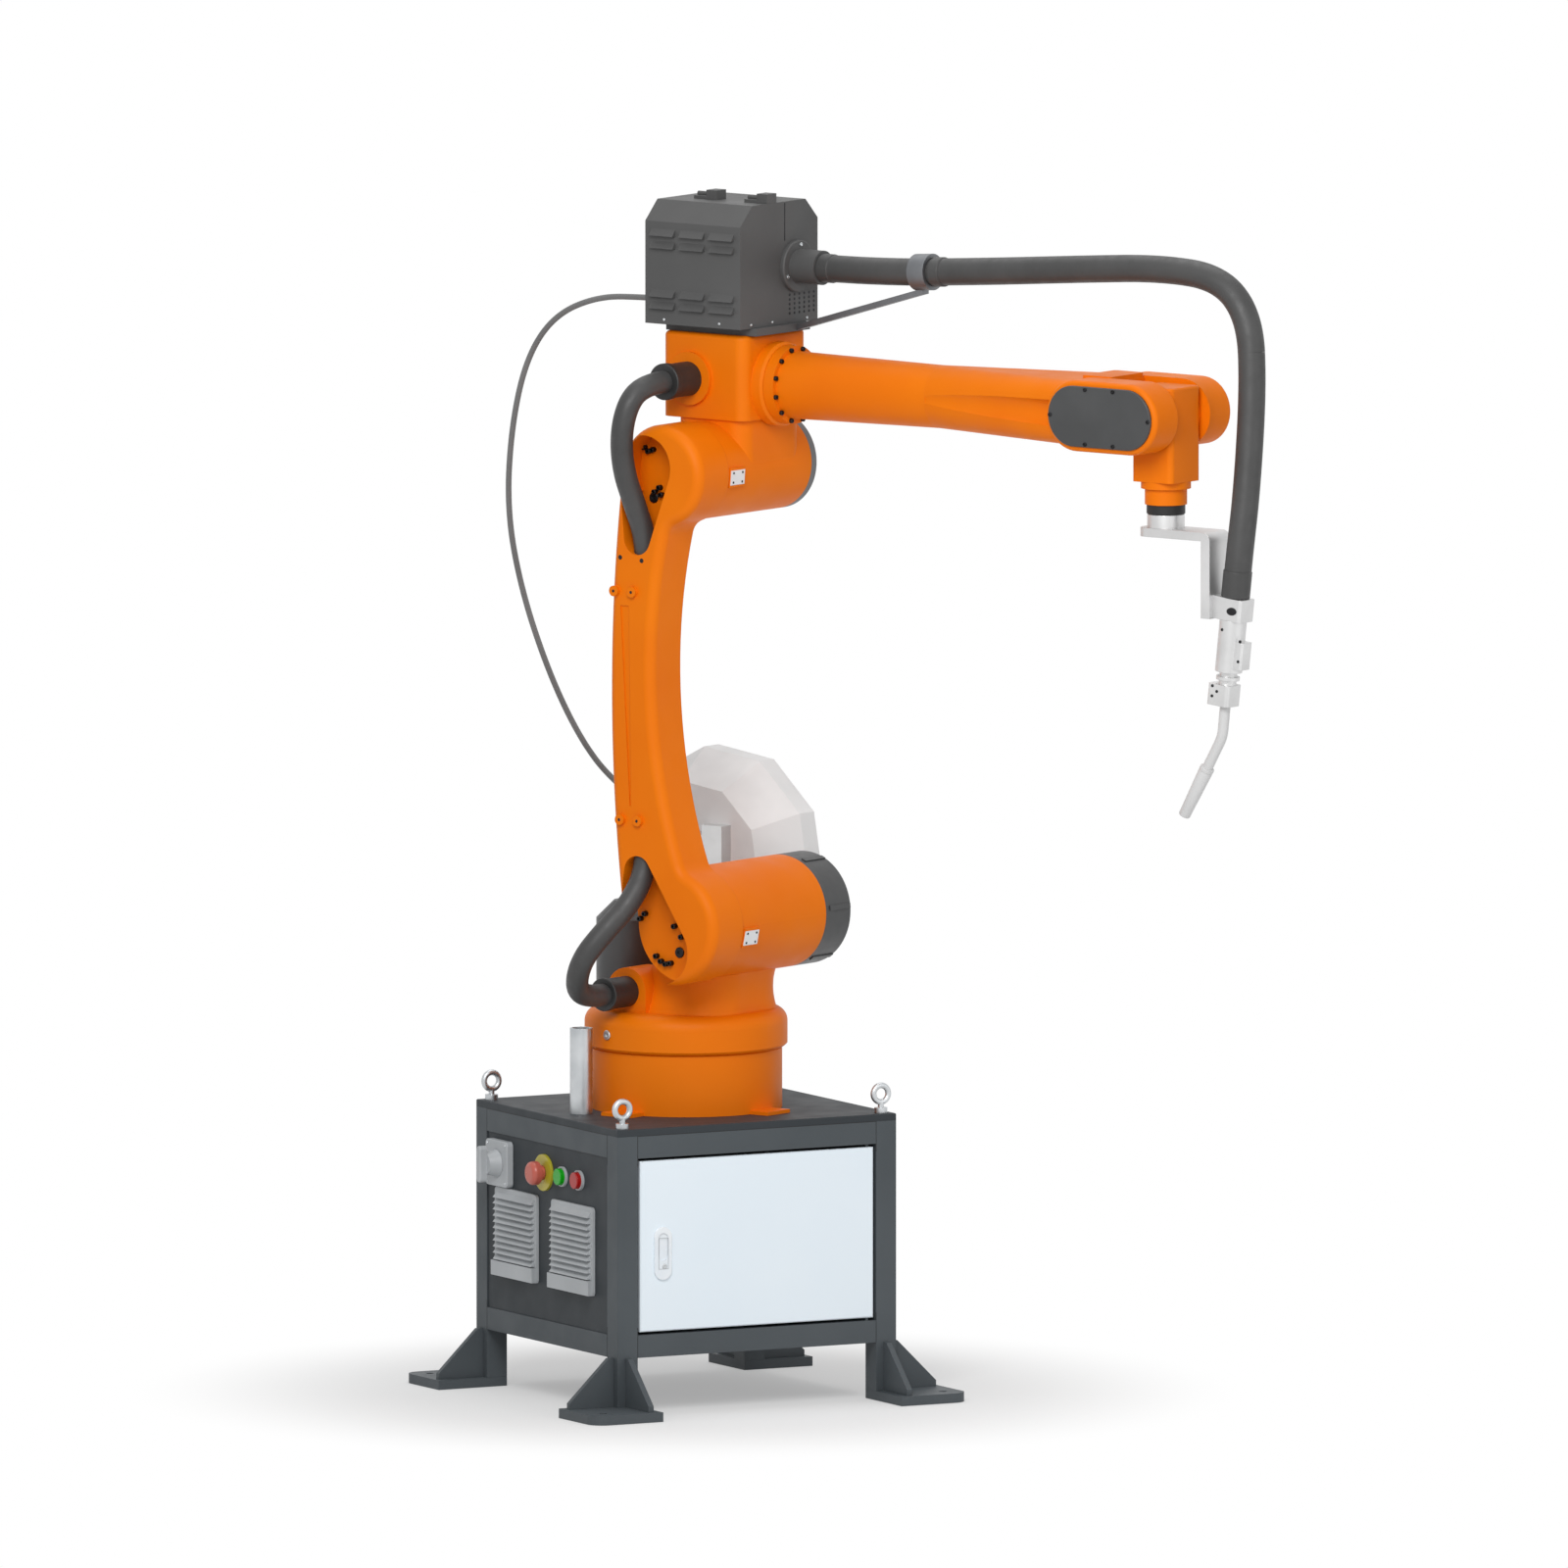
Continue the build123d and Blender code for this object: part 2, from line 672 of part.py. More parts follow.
knob_seat = vent_face - ISOLATOR_THICK - RUNNING_GAP
with BuildPart() as isolator_knob:
    with BuildSketch(Plane.YZ.offset(knob_seat)):
        with Locations((ISOLATOR_Y, switch_height)):
            Circle(KNOB_RADIUS)
    with BuildSketch(Plane.YZ.offset(knob_seat - KNOB_HEIGHT)):
        with Locations((ISOLATOR_Y, switch_height)):
            Circle(KNOB_TIP_RADIUS)
    loft()
    with BuildSketch(Plane.YZ.offset(knob_seat - KNOB_HEIGHT)):
        with Locations((ISOLATOR_Y, switch_height)):
            SlotOverall(KNOB_GRIP_LENGTH, KNOB_GRIP_WIDTH, rotation=90)
    extrude(amount=-KNOB_GRIP_HEIGHT)
    fillet(isolator_knob.faces().sort_by(Axis.X)[0].edges(), radius=KNOB_GRIP_HEIGHT / 5)
save(isolator_knob, "isolator_knob")

stem_hole = E_STOP_STEM_RADIUS + RUNNING_GAP
with BuildPart() as e_stop_ring:
    with BuildSketch(Plane.YZ.offset(vent_face)):
        with Locations((E_STOP_Y, switch_height)):
            Circle(E_STOP_RING_RADIUS)
            Circle(stem_hole, mode=Mode.SUBTRACT)
    extrude(amount=-E_STOP_RING_THICK)
save(e_stop_ring, "e_stop_ring")

ring_face = vent_face - E_STOP_RING_THICK
e_stop_head_base = ring_face - E_STOP_STROKE - DOOR_GAP
with BuildPart() as e_stop_button:
    with BuildSketch(Plane.YZ.offset(vent_face - E_STOP_STROKE - RUNNING_GAP)):
        with Locations((E_STOP_Y, switch_height)):
            Circle(E_STOP_STEM_RADIUS)
    extrude(amount=e_stop_head_base - vent_face)
    with BuildSketch(Plane.YZ.offset(e_stop_head_base)):
        with Locations((E_STOP_Y, switch_height)):
            Circle(E_STOP_HEAD_RADIUS)
    extrude(amount=-E_STOP_HEAD_HEIGHT)
    fillet(e_stop_button.faces().sort_by(Axis.X)[0].edges(), radius=E_STOP_HEAD_HEIGHT / 2)
save(e_stop_button, "e_stop_button")

with BuildPart() as button_bezels:
    with BuildSketch(Plane.YZ.offset(vent_face)):
        for button_y in BUTTON_YS.values():
            with Locations((button_y, switch_height)):
                Circle(BEZEL_RADIUS)
                Circle(BUTTON_RADIUS + BUTTON_CLEARANCE, mode=Mode.SUBTRACT)
    extrude(amount=-BEZEL_THICK)
save(button_bezels, "button_bezels")

button_back = vent_face - BUTTON_STROKE - RUNNING_GAP
button_front = vent_face - BEZEL_THICK - BUTTON_PROUD
for button_name, button_y in BUTTON_YS.items():
    with BuildPart() as push_button:
        with BuildSketch(Plane.YZ.offset(button_back)):
            with Locations((button_y, switch_height)):
                Circle(BUTTON_RADIUS)
        extrude(amount=button_front - button_back)
        fillet(push_button.faces().sort_by(Axis.X)[0].edges(), radius=BUTTON_STROKE / 2)
    save(push_button, f"{button_name}_button")

# Louvred filter covers: a flat base, a raised border and slats that overhang downwards
slat_field = GRILLE_SIDE - 2 * GRILLE_BORDER
slat_pitch = slat_field / SLAT_COUNT
slat_root = vent_face - GRILLE_BASE
with BuildPart() as vent_grilles:
    for grille_y in GRILLE_YS:
        with BuildSketch(Plane.YZ.offset(vent_face)):
            with Locations((grille_y, grille_height)):
                RectangleRounded(GRILLE_SIDE, GRILLE_SIDE, GRILLE_BORDER)
        extrude(amount=-GRILLE_BASE)
        with BuildSketch(Plane.XZ.offset(-grille_y - slat_field / 2)):
            for slat in range(SLAT_COUNT):
                slat_base = grille_height - slat_field / 2 + slat * slat_pitch
                with BuildLine():
                    Polyline(
                        (slat_root, slat_base),
                        (slat_root - SLAT_PROUD, slat_base),
                        (slat_root, slat_base + slat_pitch * SLAT_FILL),
                        close=True,
                    )
                make_face()
        extrude(amount=slat_field)
save(vent_grilles, "vent_grilles")

# Base drum bolted to the top plate
with BuildPart() as base_drum:
    with BuildSketch(Plane.XY.offset(STAND_TOP)):
        Circle(BASE_RADIUS)
    extrude(amount=BASE_HEIGHT)
    chamfer(base_drum.faces().sort_by(Axis.Z)[-1].edges(), length=BASE_EDGE)
save(base_drum, "base_drum")

# Turret: slewing ring, rear motor lobe, flaring neck, shoulder drum and the lower gland's arched block
ring_base = base_top + RUNNING_GAP
arm_face = ARM_INNER + RUNNING_GAP
arm_outer = ARM_INNER - ARM_THICK
shoulder_length = SHOULDER_FAR - arm_face
shoulder_middle = (SHOULDER_FAR + arm_face) / 2
gland_forward, gland_height = lower_gland_place
gland_block_base = ring_top - RING_ROUND
with BuildPart() as turret:
    with BuildSketch(Plane.XY.offset(ring_base)):
        Circle(RING_RADIUS)
    extrude(amount=ring_top - ring_base)
    fillet(turret.faces().sort_by(Axis.Z)[-1].edges(), radius=RING_ROUND)
    chamfer(turret.faces().sort_by(Axis.Z)[0].edges(), length=RING_FOOT_EDGE)
    with BuildSketch(Plane.XY.offset(ring_top - MOTOR_LOBE_THICK)):
        with Locations((SLEW_MOTOR_OFFSET, 0)):
            Circle(MOTOR_LOBE_RADIUS)
    extrude(amount=MOTOR_LOBE_THICK)
    with BuildSketch(Plane.XY.offset(ring_top - NECK_FOOT_SINK)):
        with Locations((NECK_FOOT_OFFSET, 0)):
            RectangleRounded(NECK_FOOT_LENGTH, NECK_FOOT_WIDTH, NECK_FOOT_CORNER)
    with BuildSketch(Plane.XY.offset(ring_top + NECK_WAIST_RISE)):
        with Locations((NECK_WAIST_OFFSET, 0)):
            RectangleRounded(NECK_WAIST_LENGTH, NECK_WAIST_WIDTH, NECK_WAIST_CORNER)
    with BuildSketch(Plane.XY.offset(shoulder_height - NECK_HEAD_BELOW_AXIS)):
        with Locations((SHOULDER_FORWARD, shoulder_middle)):
            RectangleRounded(NECK_HEAD_LENGTH, shoulder_length, NECK_HEAD_CORNER)
    loft()
    with BuildSketch(across(SHOULDER_FAR)):
        with Locations(shoulder_place):
            Circle(SHOULDER_RADIUS)
    extrude(amount=shoulder_length)
    with BuildSketch(across(GLAND_BLOCK_START)):
        with Locations(lower_gland_place):
            Circle(GLAND_BLOCK_RADIUS)
        with Locations((gland_forward, (gland_height + gland_block_base) / 2)):
            Rectangle(2 * GLAND_BLOCK_RADIUS, gland_height - gland_block_base)
    extrude(amount=GLAND_BLOCK_START - LOWER_GLAND_SEAT)
save(turret, "turret", arm_place)

# Shoulder motor cap: round rim, then a cone with a ribbed face
cap_face = SHOULDER_FAR + SHOULDER_CAP_LENGTH
with BuildPart() as shoulder_cap:
    with BuildSketch(across(SHOULDER_FAR + SHOULDER_CAP_RIM)):
        with Locations(shoulder_place):
            Circle(SHOULDER_RADIUS)
    extrude(amount=SHOULDER_CAP_RIM)
    with BuildSketch(across(SHOULDER_FAR + SHOULDER_CAP_RIM)):
        with Locations(shoulder_place):
            Circle(SHOULDER_RADIUS)
    with BuildSketch(across(cap_face)):
        with Locations(shoulder_place):
            Circle(SHOULDER_CAP_FACE_RADIUS)
    loft()
    with BuildSketch(across(cap_face)):
        with Locations(shoulder_place):
            Circle(SHOULDER_CAP_FACE_RADIUS - SHOULDER_CAP_RIB)
            Circle(SHOULDER_CAP_FACE_RADIUS - 2 * SHOULDER_CAP_RIB, mode=Mode.SUBTRACT)
    extrude(amount=SHOULDER_CAP_RIB / 2, mode=Mode.SUBTRACT)
save(shoulder_cap, "shoulder_cap", arm_place)

with BuildPart() as slew_motor:
    with BuildSketch(Plane.XY.offset(ring_top)):
        with Locations((SLEW_MOTOR_OFFSET, 0)):
            Circle(SLEW_MOTOR_RADIUS)
    extrude(amount=slew_motor_top - ring_top)
    chamfer(slew_motor.faces().sort_by(Axis.Z)[-1].edges(), length=MOTOR_BEVEL)
save(slew_motor, "slew_motor", arm_place)


def hose_gland(place, seat, length, radius):
    """Rubber gland standing out to the lower arm's side, with a raised rim where the hose leaves."""
    with BuildPart() as gland:
        with BuildSketch(across(seat)):
            with Locations(place):
                Circle(radius)
        extrude(amount=length)
        with BuildSketch(across(seat - length + GLAND_RIM_LENGTH)):
            with Locations(place):
                Circle(radius + GLAND_RIM)
        extrude(amount=GLAND_RIM_LENGTH)
        outer_rim = gland.faces().sort_by(Axis.Y)[0].edges()
        fillet(outer_rim, radius=GLAND_RIM)
    return gland


lower_gland = hose_gland(lower_gland_place, LOWER_GLAND_SEAT, LOWER_GLAND_LENGTH, LOWER_GLAND_RADIUS)
save(lower_gland, "lower_gland", arm_place)

# Lower arm: a swept-back link with a round hub at each end and a hose scoop in each hub
def beside(place, offset):
    """Place moved by an offset, both as (forward, height)."""
    return (place[0] + offset[0], place[1] + offset[1])


def hub_front(radius, reach):
    """Height above a hub's centre at which the arm's front edge runs into the hub."""
    return math.sqrt(radius**2 - reach**2) - ARM_FRONT_OVERLAP


waist_height = (elbow_height + shoulder_height) / 2
waist_back = (SHOULDER_FORWARD - ARM_WAIST_BACK, waist_height)
waist_front = (SHOULDER_FORWARD - ARM_WAIST_FRONT, waist_height)
back_low = beside(shoulder_place, (-ARM_LOWER_RADIUS, 0))
back_high = beside(elbow_place, (-ARM_UPPER_RADIUS, 0))
front_low = beside(shoulder_place, (ARM_FRONT_LOW, hub_front(ARM_LOWER_RADIUS, ARM_FRONT_LOW)))
front_high = beside(elbow_place, (ARM_FRONT_HIGH, -hub_front(ARM_UPPER_RADIUS, ARM_FRONT_HIGH)))
lower_tip = beside(shoulder_place, LOWER_SCOOP_TIP)
upper_tip = beside(elbow_place, UPPER_SCOOP_TIP)
lower_boss = beside(shoulder_place, LOWER_BOSS_PLACE)
upper_boss = beside(elbow_place, UPPER_BOSS_PLACE)
hose_bore_radius = HOSE_DIAMETER / 2 + HOSE_BORE_CLEARANCE
with BuildPart() as lower_arm:
    with BuildSketch(across(ARM_INNER)) as link:
        with BuildLine():
            ThreePointArc(back_low, waist_back, back_high)
            Line(back_high, front_high)
            ThreePointArc(front_high, waist_front, front_low)
            Line(front_low, back_low)
        make_face()
        with Locations(shoulder_place):
            Circle(ARM_LOWER_RADIUS)
        with Locations(elbow_place):
            Circle(ARM_UPPER_RADIUS)
        fillet(link.vertices().sort_by_distance(front_low)[0], radius=ARM_THROAT)
        fillet(link.vertices().sort_by_distance(front_high)[0], radius=ARM_THROAT)
    extrude(amount=ARM_THICK)
    fillet(lower_arm.faces().sort_by(Axis.Y)[0].edges(), radius=ARM_EDGE_ROUND)
    for tip, hub, mouth in (
        (lower_tip, beside(shoulder_place, LOWER_SCOOP_HUB), beside(shoulder_place, LOWER_SCOOP_MOUTH)),
        (upper_tip, beside(elbow_place, UPPER_SCOOP_HUB), beside(elbow_place, UPPER_SCOOP_MOUTH)),
    ):
        with BuildSketch(across(arm_outer)):
            with Locations(tip):
                Circle(SCOOP_TIP_RADIUS)
            with Locations(hub):
                Circle(SCOOP_HUB_RADIUS)
            with Locations(mouth):
                Circle(SCOOP_MOUTH_RADIUS)
            make_hull()
        extrude(amount=-SCOOP_DEPTH, mode=Mode.SUBTRACT)
    for tip, bore_base in (
        (lower_tip, lower_tip[1]),
        (upper_tip, upper_tip[1] - SCOOP_TIP_RADIUS - HOSE_BORE_DEPTH),
    ):
        with BuildSketch(Plane.XY.offset(bore_base)):
            with Locations((tip[0], HOSE_LANE)):
                Circle(hose_bore_radius)
        extrude(amount=SCOOP_TIP_RADIUS + HOSE_BORE_DEPTH, mode=Mode.SUBTRACT)
    with BuildSketch(across(arm_outer + ARM_EDGE_ROUND)):
        for boss_place in (lower_boss, upper_boss):
            with Locations(boss_place):
                with GridLocations(ARM_BOSS_SPREAD, 0, 2, 1):
                    Circle(ARM_BOSS_RADIUS)
    extrude(amount=ARM_EDGE_ROUND + ARM_BOSS_PROUD)
    with BuildSketch(across(arm_outer)):
        with BuildLine():
            Polyline(
                (upper_boss[0] - GROOVE_WIDTH / 2, upper_boss[1] - GROOVE_MARGIN),
                (upper_boss[0] + GROOVE_WIDTH / 2, upper_boss[1] - GROOVE_MARGIN),
                (lower_boss[0] + GROOVE_TIP_WIDTH / 2, lower_boss[1] + GROOVE_MARGIN),
                (lower_boss[0] - GROOVE_TIP_WIDTH / 2, lower_boss[1] + GROOVE_MARGIN),
                close=True,
            )
        make_face()
    extrude(amount=-GROOVE_DEPTH, mode=Mode.SUBTRACT)
save(lower_arm, "lower_arm", arm_place)

# Elbow housing: drum on the elbow axis, neck, and the head that carries the forearm
head_middle = (head_back + head_front) / 2
head_length = head_front - head_back
neck_middle = ELBOW_FORWARD + ELBOW_RADIUS - HEAD_NECK_INSET - HEAD_NECK_LENGTH / 2
upper_gland_seat = -HEAD_WIDTH / 2 - UPPER_BOSS_PROUD
with BuildPart() as elbow_housing:
    with BuildSketch(Plane.XY.offset(head_base)):
        with Locations((head_middle, 0)):
            RectangleRounded(head_length, HEAD_WIDTH, HEAD_ROUND)
    extrude(amount=head_top - head_base)
    fillet(elbow_housing.faces().sort_by(Axis.Z)[-1].edges(), radius=HEAD_TOP_ROUND)
    with BuildSketch(Plane.XY.offset(elbow_height)):
        with Locations((neck_middle, 0)):
            RectangleRounded(HEAD_NECK_LENGTH, HEAD_NECK_WIDTH, HEAD_NECK_ROUND)
    extrude(amount=head_base - elbow_height)
    with BuildSketch(across(ELBOW_FAR)):
        with Locations(elbow_place):
            Circle(ELBOW_RADIUS)
    extrude(amount=ELBOW_FAR - arm_face)
    with BuildSketch(across(-HEAD_WIDTH / 2)):
        with Locations(upper_gland_place):
            Circle(UPPER_BOSS_RADIUS)
    extrude(amount=UPPER_BOSS_PROUD)
    with BuildSketch(ahead(head_front)):
        with Locations((0, forearm_height)):
            Circle(HEAD_RIM_RADIUS)
    extrude(amount=HEAD_RIM_THICK)
    chamfer(elbow_housing.faces().sort_by(Axis.X)[-1].edges(), length=HEAD_RIM_EDGE)
save(elbow_housing, "elbow_housing", arm_place)

with BuildPart() as elbow_cap:
    with BuildSketch(across(ELBOW_FAR + ELBOW_CAP_LENGTH)):
        with Locations(elbow_place):
            Circle(ELBOW_RADIUS)
    extrude(amount=ELBOW_CAP_LENGTH)
    chamfer(elbow_cap.faces().sort_by(Axis.Y)[-1].edges(), length=ELBOW_CAP_BEVEL)
save(elbow_cap, "elbow_cap", arm_place)

upper_gland = hose_gland(upper_gland_place, upper_gland_seat, UPPER_GLAND_LENGTH, UPPER_GLAND_RADIUS)
save(upper_gland, "upper_gland", arm_place)

# Forearm: bolted root flange, round tube, swelling into the wrist fork
forearm_root = head_front + HEAD_RIM_THICK + RUNNING_GAP
tube_start = forearm_root + FOREARM_FLANGE_THICK
fork_inner = WRIST_HALF + WRIST_SIDE_GAP
fork_wall = FORK_HALF_WIDTH - fork_inner
fork_span = wrist_forward - fork_rear_centre
fork_middle = (wrist_forward + fork_rear_centre) / 2
with BuildPart() as forearm:
    with BuildSketch(ahead(forearm_root)):
        with Locations((0, forearm_height)):
            Circle(FOREARM_FLANGE_RADIUS)
    extrude(amount=FOREARM_FLANGE_THICK)
    with BuildSketch(ahead(tube_start)):
        with Locations((0, forearm_height)):
            Circle(FOREARM_ROOT_RADIUS)
    with BuildSketch(ahead(swell_start)):
        with Locations((0, forearm_height)):
            Circle(FOREARM_RADIUS)
    loft()
    with BuildSketch(ahead(swell_start)):
        with Locations((0, forearm_height)):
            RectangleRounded(2 * FOREARM_RADIUS, 2 * FOREARM_RADIUS, FOREARM_RADIUS - RUNNING_GAP)
    with BuildSketch(ahead(fork_back)):
        with Locations((0, forearm_height)):
            RectangleRounded(2 * FORK_SHOULDER_HALF_WIDTH, 2 * FORK_BASE_HALF_HEIGHT, FORK_SHOULDER_ROUND)
    loft()
    with BuildSketch(ahead(fork_back)):
        with Locations((0, forearm_height)):
            RectangleRounded(2 * FORK_SHOULDER_HALF_WIDTH, 2 * FORK_BASE_HALF_HEIGHT, FORK_SHOULDER_ROUND)
    extrude(amount=fork_front - fork_back)
    for side in (-1, 1):
        start_side = side * (FOREARM_RADIUS + FLUTE_RADIUS - FLUTE_START_DEPTH)
        end_side = side * (FORK_SHOULDER_HALF_WIDTH + FLUTE_RADIUS - FLUTE_END_DEPTH)
        flute_start = Vector(swell_start, start_side, forearm_height)
        flute_end = Vector(fork_back, end_side, forearm_height)
        with BuildSketch(Plane(flute_start, z_dir=flute_end - flute_start)):
            Circle(FLUTE_RADIUS)
        extrude(amount=(flute_end - flute_start).length, mode=Mode.SUBTRACT)
    with BuildSketch(across(-fork_inner)):
        with Locations((fork_middle, forearm_height)):
            SlotCenterToCenter(fork_span, 2 * FORK_RIM_RADIUS)
    extrude(amount=fork_wall)
    with BuildSketch(across(FORK_HALF_WIDTH)):
        with Locations((fork_middle, forearm_height)):
            SlotCenterToCenter(fork_span, 2 * FORK_FAR_RADIUS)
    extrude(amount=fork_wall)
    with BuildSketch(Plane.XY.offset(forearm_height)):
        with Locations((fork_rear_centre, 0)):
            RectangleRounded(BRIDGE_PAD_LENGTH, BRIDGE_PAD_WIDTH, FORK_ROUND)
    extrude(amount=FORK_BASE_HALF_HEIGHT + BRIDGE_PAD_THICK)
    fork_sides = forearm.faces().sort_by(Axis.Y)
    fillet(fork_sides[0].edges() + fork_sides[-1].edges(), radius=FORK_ROUND)
save(forearm, "forearm", arm_place)

with BuildPart() as belt_cover:
    with BuildSketch(across(-FORK_HALF_WIDTH)):
        with Locations((fork_middle, forearm_height)):
            SlotCenterToCenter(fork_span, 2 * (FORK_RIM_RADIUS - BELT_COVER_MARGIN - FORK_ROUND / 4))
    extrude(amount=BELT_COVER_THICK)
    chamfer(belt_cover.faces().sort_by(Axis.Y)[0].edges(), length=BELT_COVER_THICK / 4)
save(belt_cover, "belt_cover", arm_place)

# Wrist: block on trunnions in the fork, stepping down to the turning tool flange
with BuildPart() as wrist_block:
    with BuildSketch(Plane.XY.offset(wrist_base)):
        with Locations((wrist_forward, 0)):
            RectangleRounded(2 * WRIST_HALF, 2 * WRIST_HALF, WRIST_ROUND)
    extrude(amount=wrist_top - wrist_base)
    fillet(wrist_block.faces().sort_by(Axis.Z)[-1].edges(), radius=WRIST_ROUND / 2)
    with BuildSketch(across(fork_inner - RUNNING_GAP)):
        with Locations(wrist_place):
            Circle(TRUNNION_RADIUS)
    extrude(amount=2 * (fork_inner - RUNNING_GAP))
    with BuildSketch(Plane.XY.offset(wrist_base - COLLAR_THICK)):
        with Locations((wrist_forward, 0)):
            Circle(COLLAR_RADIUS)
    extrude(amount=COLLAR_THICK)
    with BuildSketch(Plane.XY.offset(flange_base)):
        with Locations((wrist_forward, 0)):
            Circle(FLANGE_RADIUS)
    extrude(amount=wrist_base - flange_base)
save(wrist_block, "wrist_block", arm_place)

with BuildPart() as tool_ring:
    with BuildSketch(Plane.XY.offset(adaptor_top)):
        with Locations((wrist_forward, 0)):
            Circle(TOOL_RING_RADIUS)
    extrude(amount=TOOL_RING_THICK)
save(tool_ring, "tool_ring", arm_place)

with BuildPart() as tool_adaptor:
    with BuildSketch(Plane.XY.offset(bracket_top)):
        with Locations((wrist_forward, 0)):
            Circle(ADAPTOR_RADIUS)
    extrude(amount=ADAPTOR_THICK)
    chamfer(tool_adaptor.faces().sort_by(Axis.Z)[-1].edges(), length=ADAPTOR_THICK / 12)
save(tool_adaptor, "tool_adaptor", arm_place)

plate_base = bracket_top - BRACKET_PLATE
with BuildPart() as torch_bracket:
    with BuildSketch(across(BRACKET_WIDTH / 2)) as bent_plate:
        with BuildLine():
            Polyline(
                (bracket_back, bracket_top),
                (leg_front, bracket_top),
                (leg_front, bracket_foot),
                (leg_back, bracket_foot),
                (leg_back, plate_base),
                (bracket_back, plate_base),
                close=True,
            )
        make_face()
        outer_bend = bent_plate.vertices().sort_by_distance((leg_front, bracket_top))[0]
        inner_bend = bent_plate.vertices().sort_by_distance((leg_back, plate_base))[0]
        fillet(outer_bend, radius=BRACKET_BEND)
        fillet(inner_bend, radius=BRACKET_BEND / 2)
    extrude(amount=BRACKET_WIDTH)
    upright_corners = torch_bracket.edges().filter_by(Axis.Z).sort_by(Axis.X)[:2]
    fillet(upright_corners, radius=BRACKET_WIDTH / 3)
save(torch_bracket, "torch_bracket", arm_place)

# Torch, leaning back from the upright: its own frame has +Z up along the torch's axis
lean = math.radians(TORCH_LEAN)
torch_frame = Plane(
    (torch_forward, 0, torch_top),
    (math.cos(lean), 0, -math.sin(lean)),
    (math.sin(lean), 0, math.cos(lean)),
)
body_top = -TORCH_CLAMP_HEIGHT
waist_top = body_top - TORCH_BODY_LENGTH
foot_top = waist_top - TORCH_WAIST_LENGTH
neck_top = foot_top - TORCH_FOOT_LENGTH
clamp_back = TORCH_GAP + TORCH_CLAMP_HEIGHT * math.sin(lean) + TORCH_CLAMP_WIDTH / 8
with BuildPart() as torch_clamp:
    with BuildSketch(torch_frame.offset(body_top)):
        with Locations(((TORCH_CLAMP_FRONT - clamp_back) / 2, 0)):
            RectangleRounded(TORCH_CLAMP_FRONT + clamp_back, TORCH_CLAMP_WIDTH, TORCH_CLAMP_WIDTH / 8)
    extrude(amount=TORCH_CLAMP_HEIGHT)
    split(bisect_by=Plane.YZ.offset(leg_front), keep=Keep.TOP)
save(torch_clamp, "torch_clamp", arm_place)

with BuildPart() as torch_body:
    with BuildSketch(torch_frame.offset(waist_top)):
        Circle(TORCH_BODY_RADIUS)
    extrude(amount=TORCH_BODY_LENGTH)
    with BuildSketch(torch_frame.offset(waist_top + TORCH_SIDE_RISE)):
        with Locations((TORCH_SIDE_REACH / 2, 0)):
            RectangleRounded(TORCH_SIDE_REACH, TORCH_SIDE_WIDTH, TORCH_SIDE_WIDTH / 7)
    extrude(amount=TORCH_SIDE_HEIGHT)
    with BuildSketch(torch_frame.offset(foot_top)):
        Circle(TORCH_WAIST_RADIUS)
    extrude(amount=TORCH_WAIST_LENGTH)
    with BuildSketch(torch_frame.offset(foot_top + (TORCH_WAIST_LENGTH - TORCH_WAIST_RING_THICK) / 2)):
        Circle(TORCH_WAIST_RING_RADIUS)
    extrude(amount=TORCH_WAIST_RING_THICK)
    with BuildSketch(torch_frame.offset(neck_top)):
        with Locations((-TORCH_FOOT_SETBACK, 0)):
            RectangleRounded(TORCH_FOOT_WIDTH, TORCH_FOOT_DEPTH, TORCH_FOOT_WIDTH / 6)
    extrude(amount=TORCH_FOOT_LENGTH)
save(torch_body, "torch_body", arm_place)

neck_start = torch_frame.offset(neck_top).origin
neck_corner = neck_start - torch_frame.z_dir * NECK_STRAIGHT
neck_way = Vector(-math.sin(math.radians(NECK_ANGLE)), 0, -math.cos(math.radians(NECK_ANGLE)))
nozzle_start = neck_corner + neck_way * NECK_TAIL
with BuildPart() as torch_neck:
    with BuildLine() as neck_line:
        FilletPolyline(neck_start, neck_corner, nozzle_start, radius=NECK_BEND_RADIUS)
    with BuildSketch(Plane(neck_start, z_dir=neck_line.line % 0)):
        Circle(NECK_DIAMETER / 2)
    sweep()
save(torch_neck, "torch_neck", arm_place)

with BuildPart() as torch_nozzle:
    with BuildSketch(Plane(nozzle_start, (0, 1, 0), neck_way)):
        Circle(NOZZLE_RADIUS)
    with BuildSketch(Plane(nozzle_start + neck_way * NOZZLE_LENGTH, (0, 1, 0), neck_way)):
        Circle(NOZZLE_TIP_RADIUS)
    loft()
    with BuildSketch(Plane(nozzle_start + neck_way * NOZZLE_LENGTH, (0, 1, 0), neck_way)):
        Circle(NOZZLE_BORE)
    extrude(amount=-NOZZLE_BORE_DEPTH, mode=Mode.SUBTRACT)
save(torch_nozzle, "torch_nozzle", arm_place)
print("nozzle tip", nozzle_start + neck_way * NOZZLE_LENGTH)

# Wire feeder: base plate on the elbow head, vented box, lid catches and the cable outlet
with BuildPart() as feeder_base:
    with BuildSketch(Plane.XY.offset(head_top)):
        with Locations(((head_back + feeder_base_front) / 2, 0)):
            Rectangle(feeder_base_front - head_back, FEEDER_BASE_WIDTH)
    extrude(amount=FEEDER_BASE_THICK)
save(feeder_base, "feeder_base", arm_place)

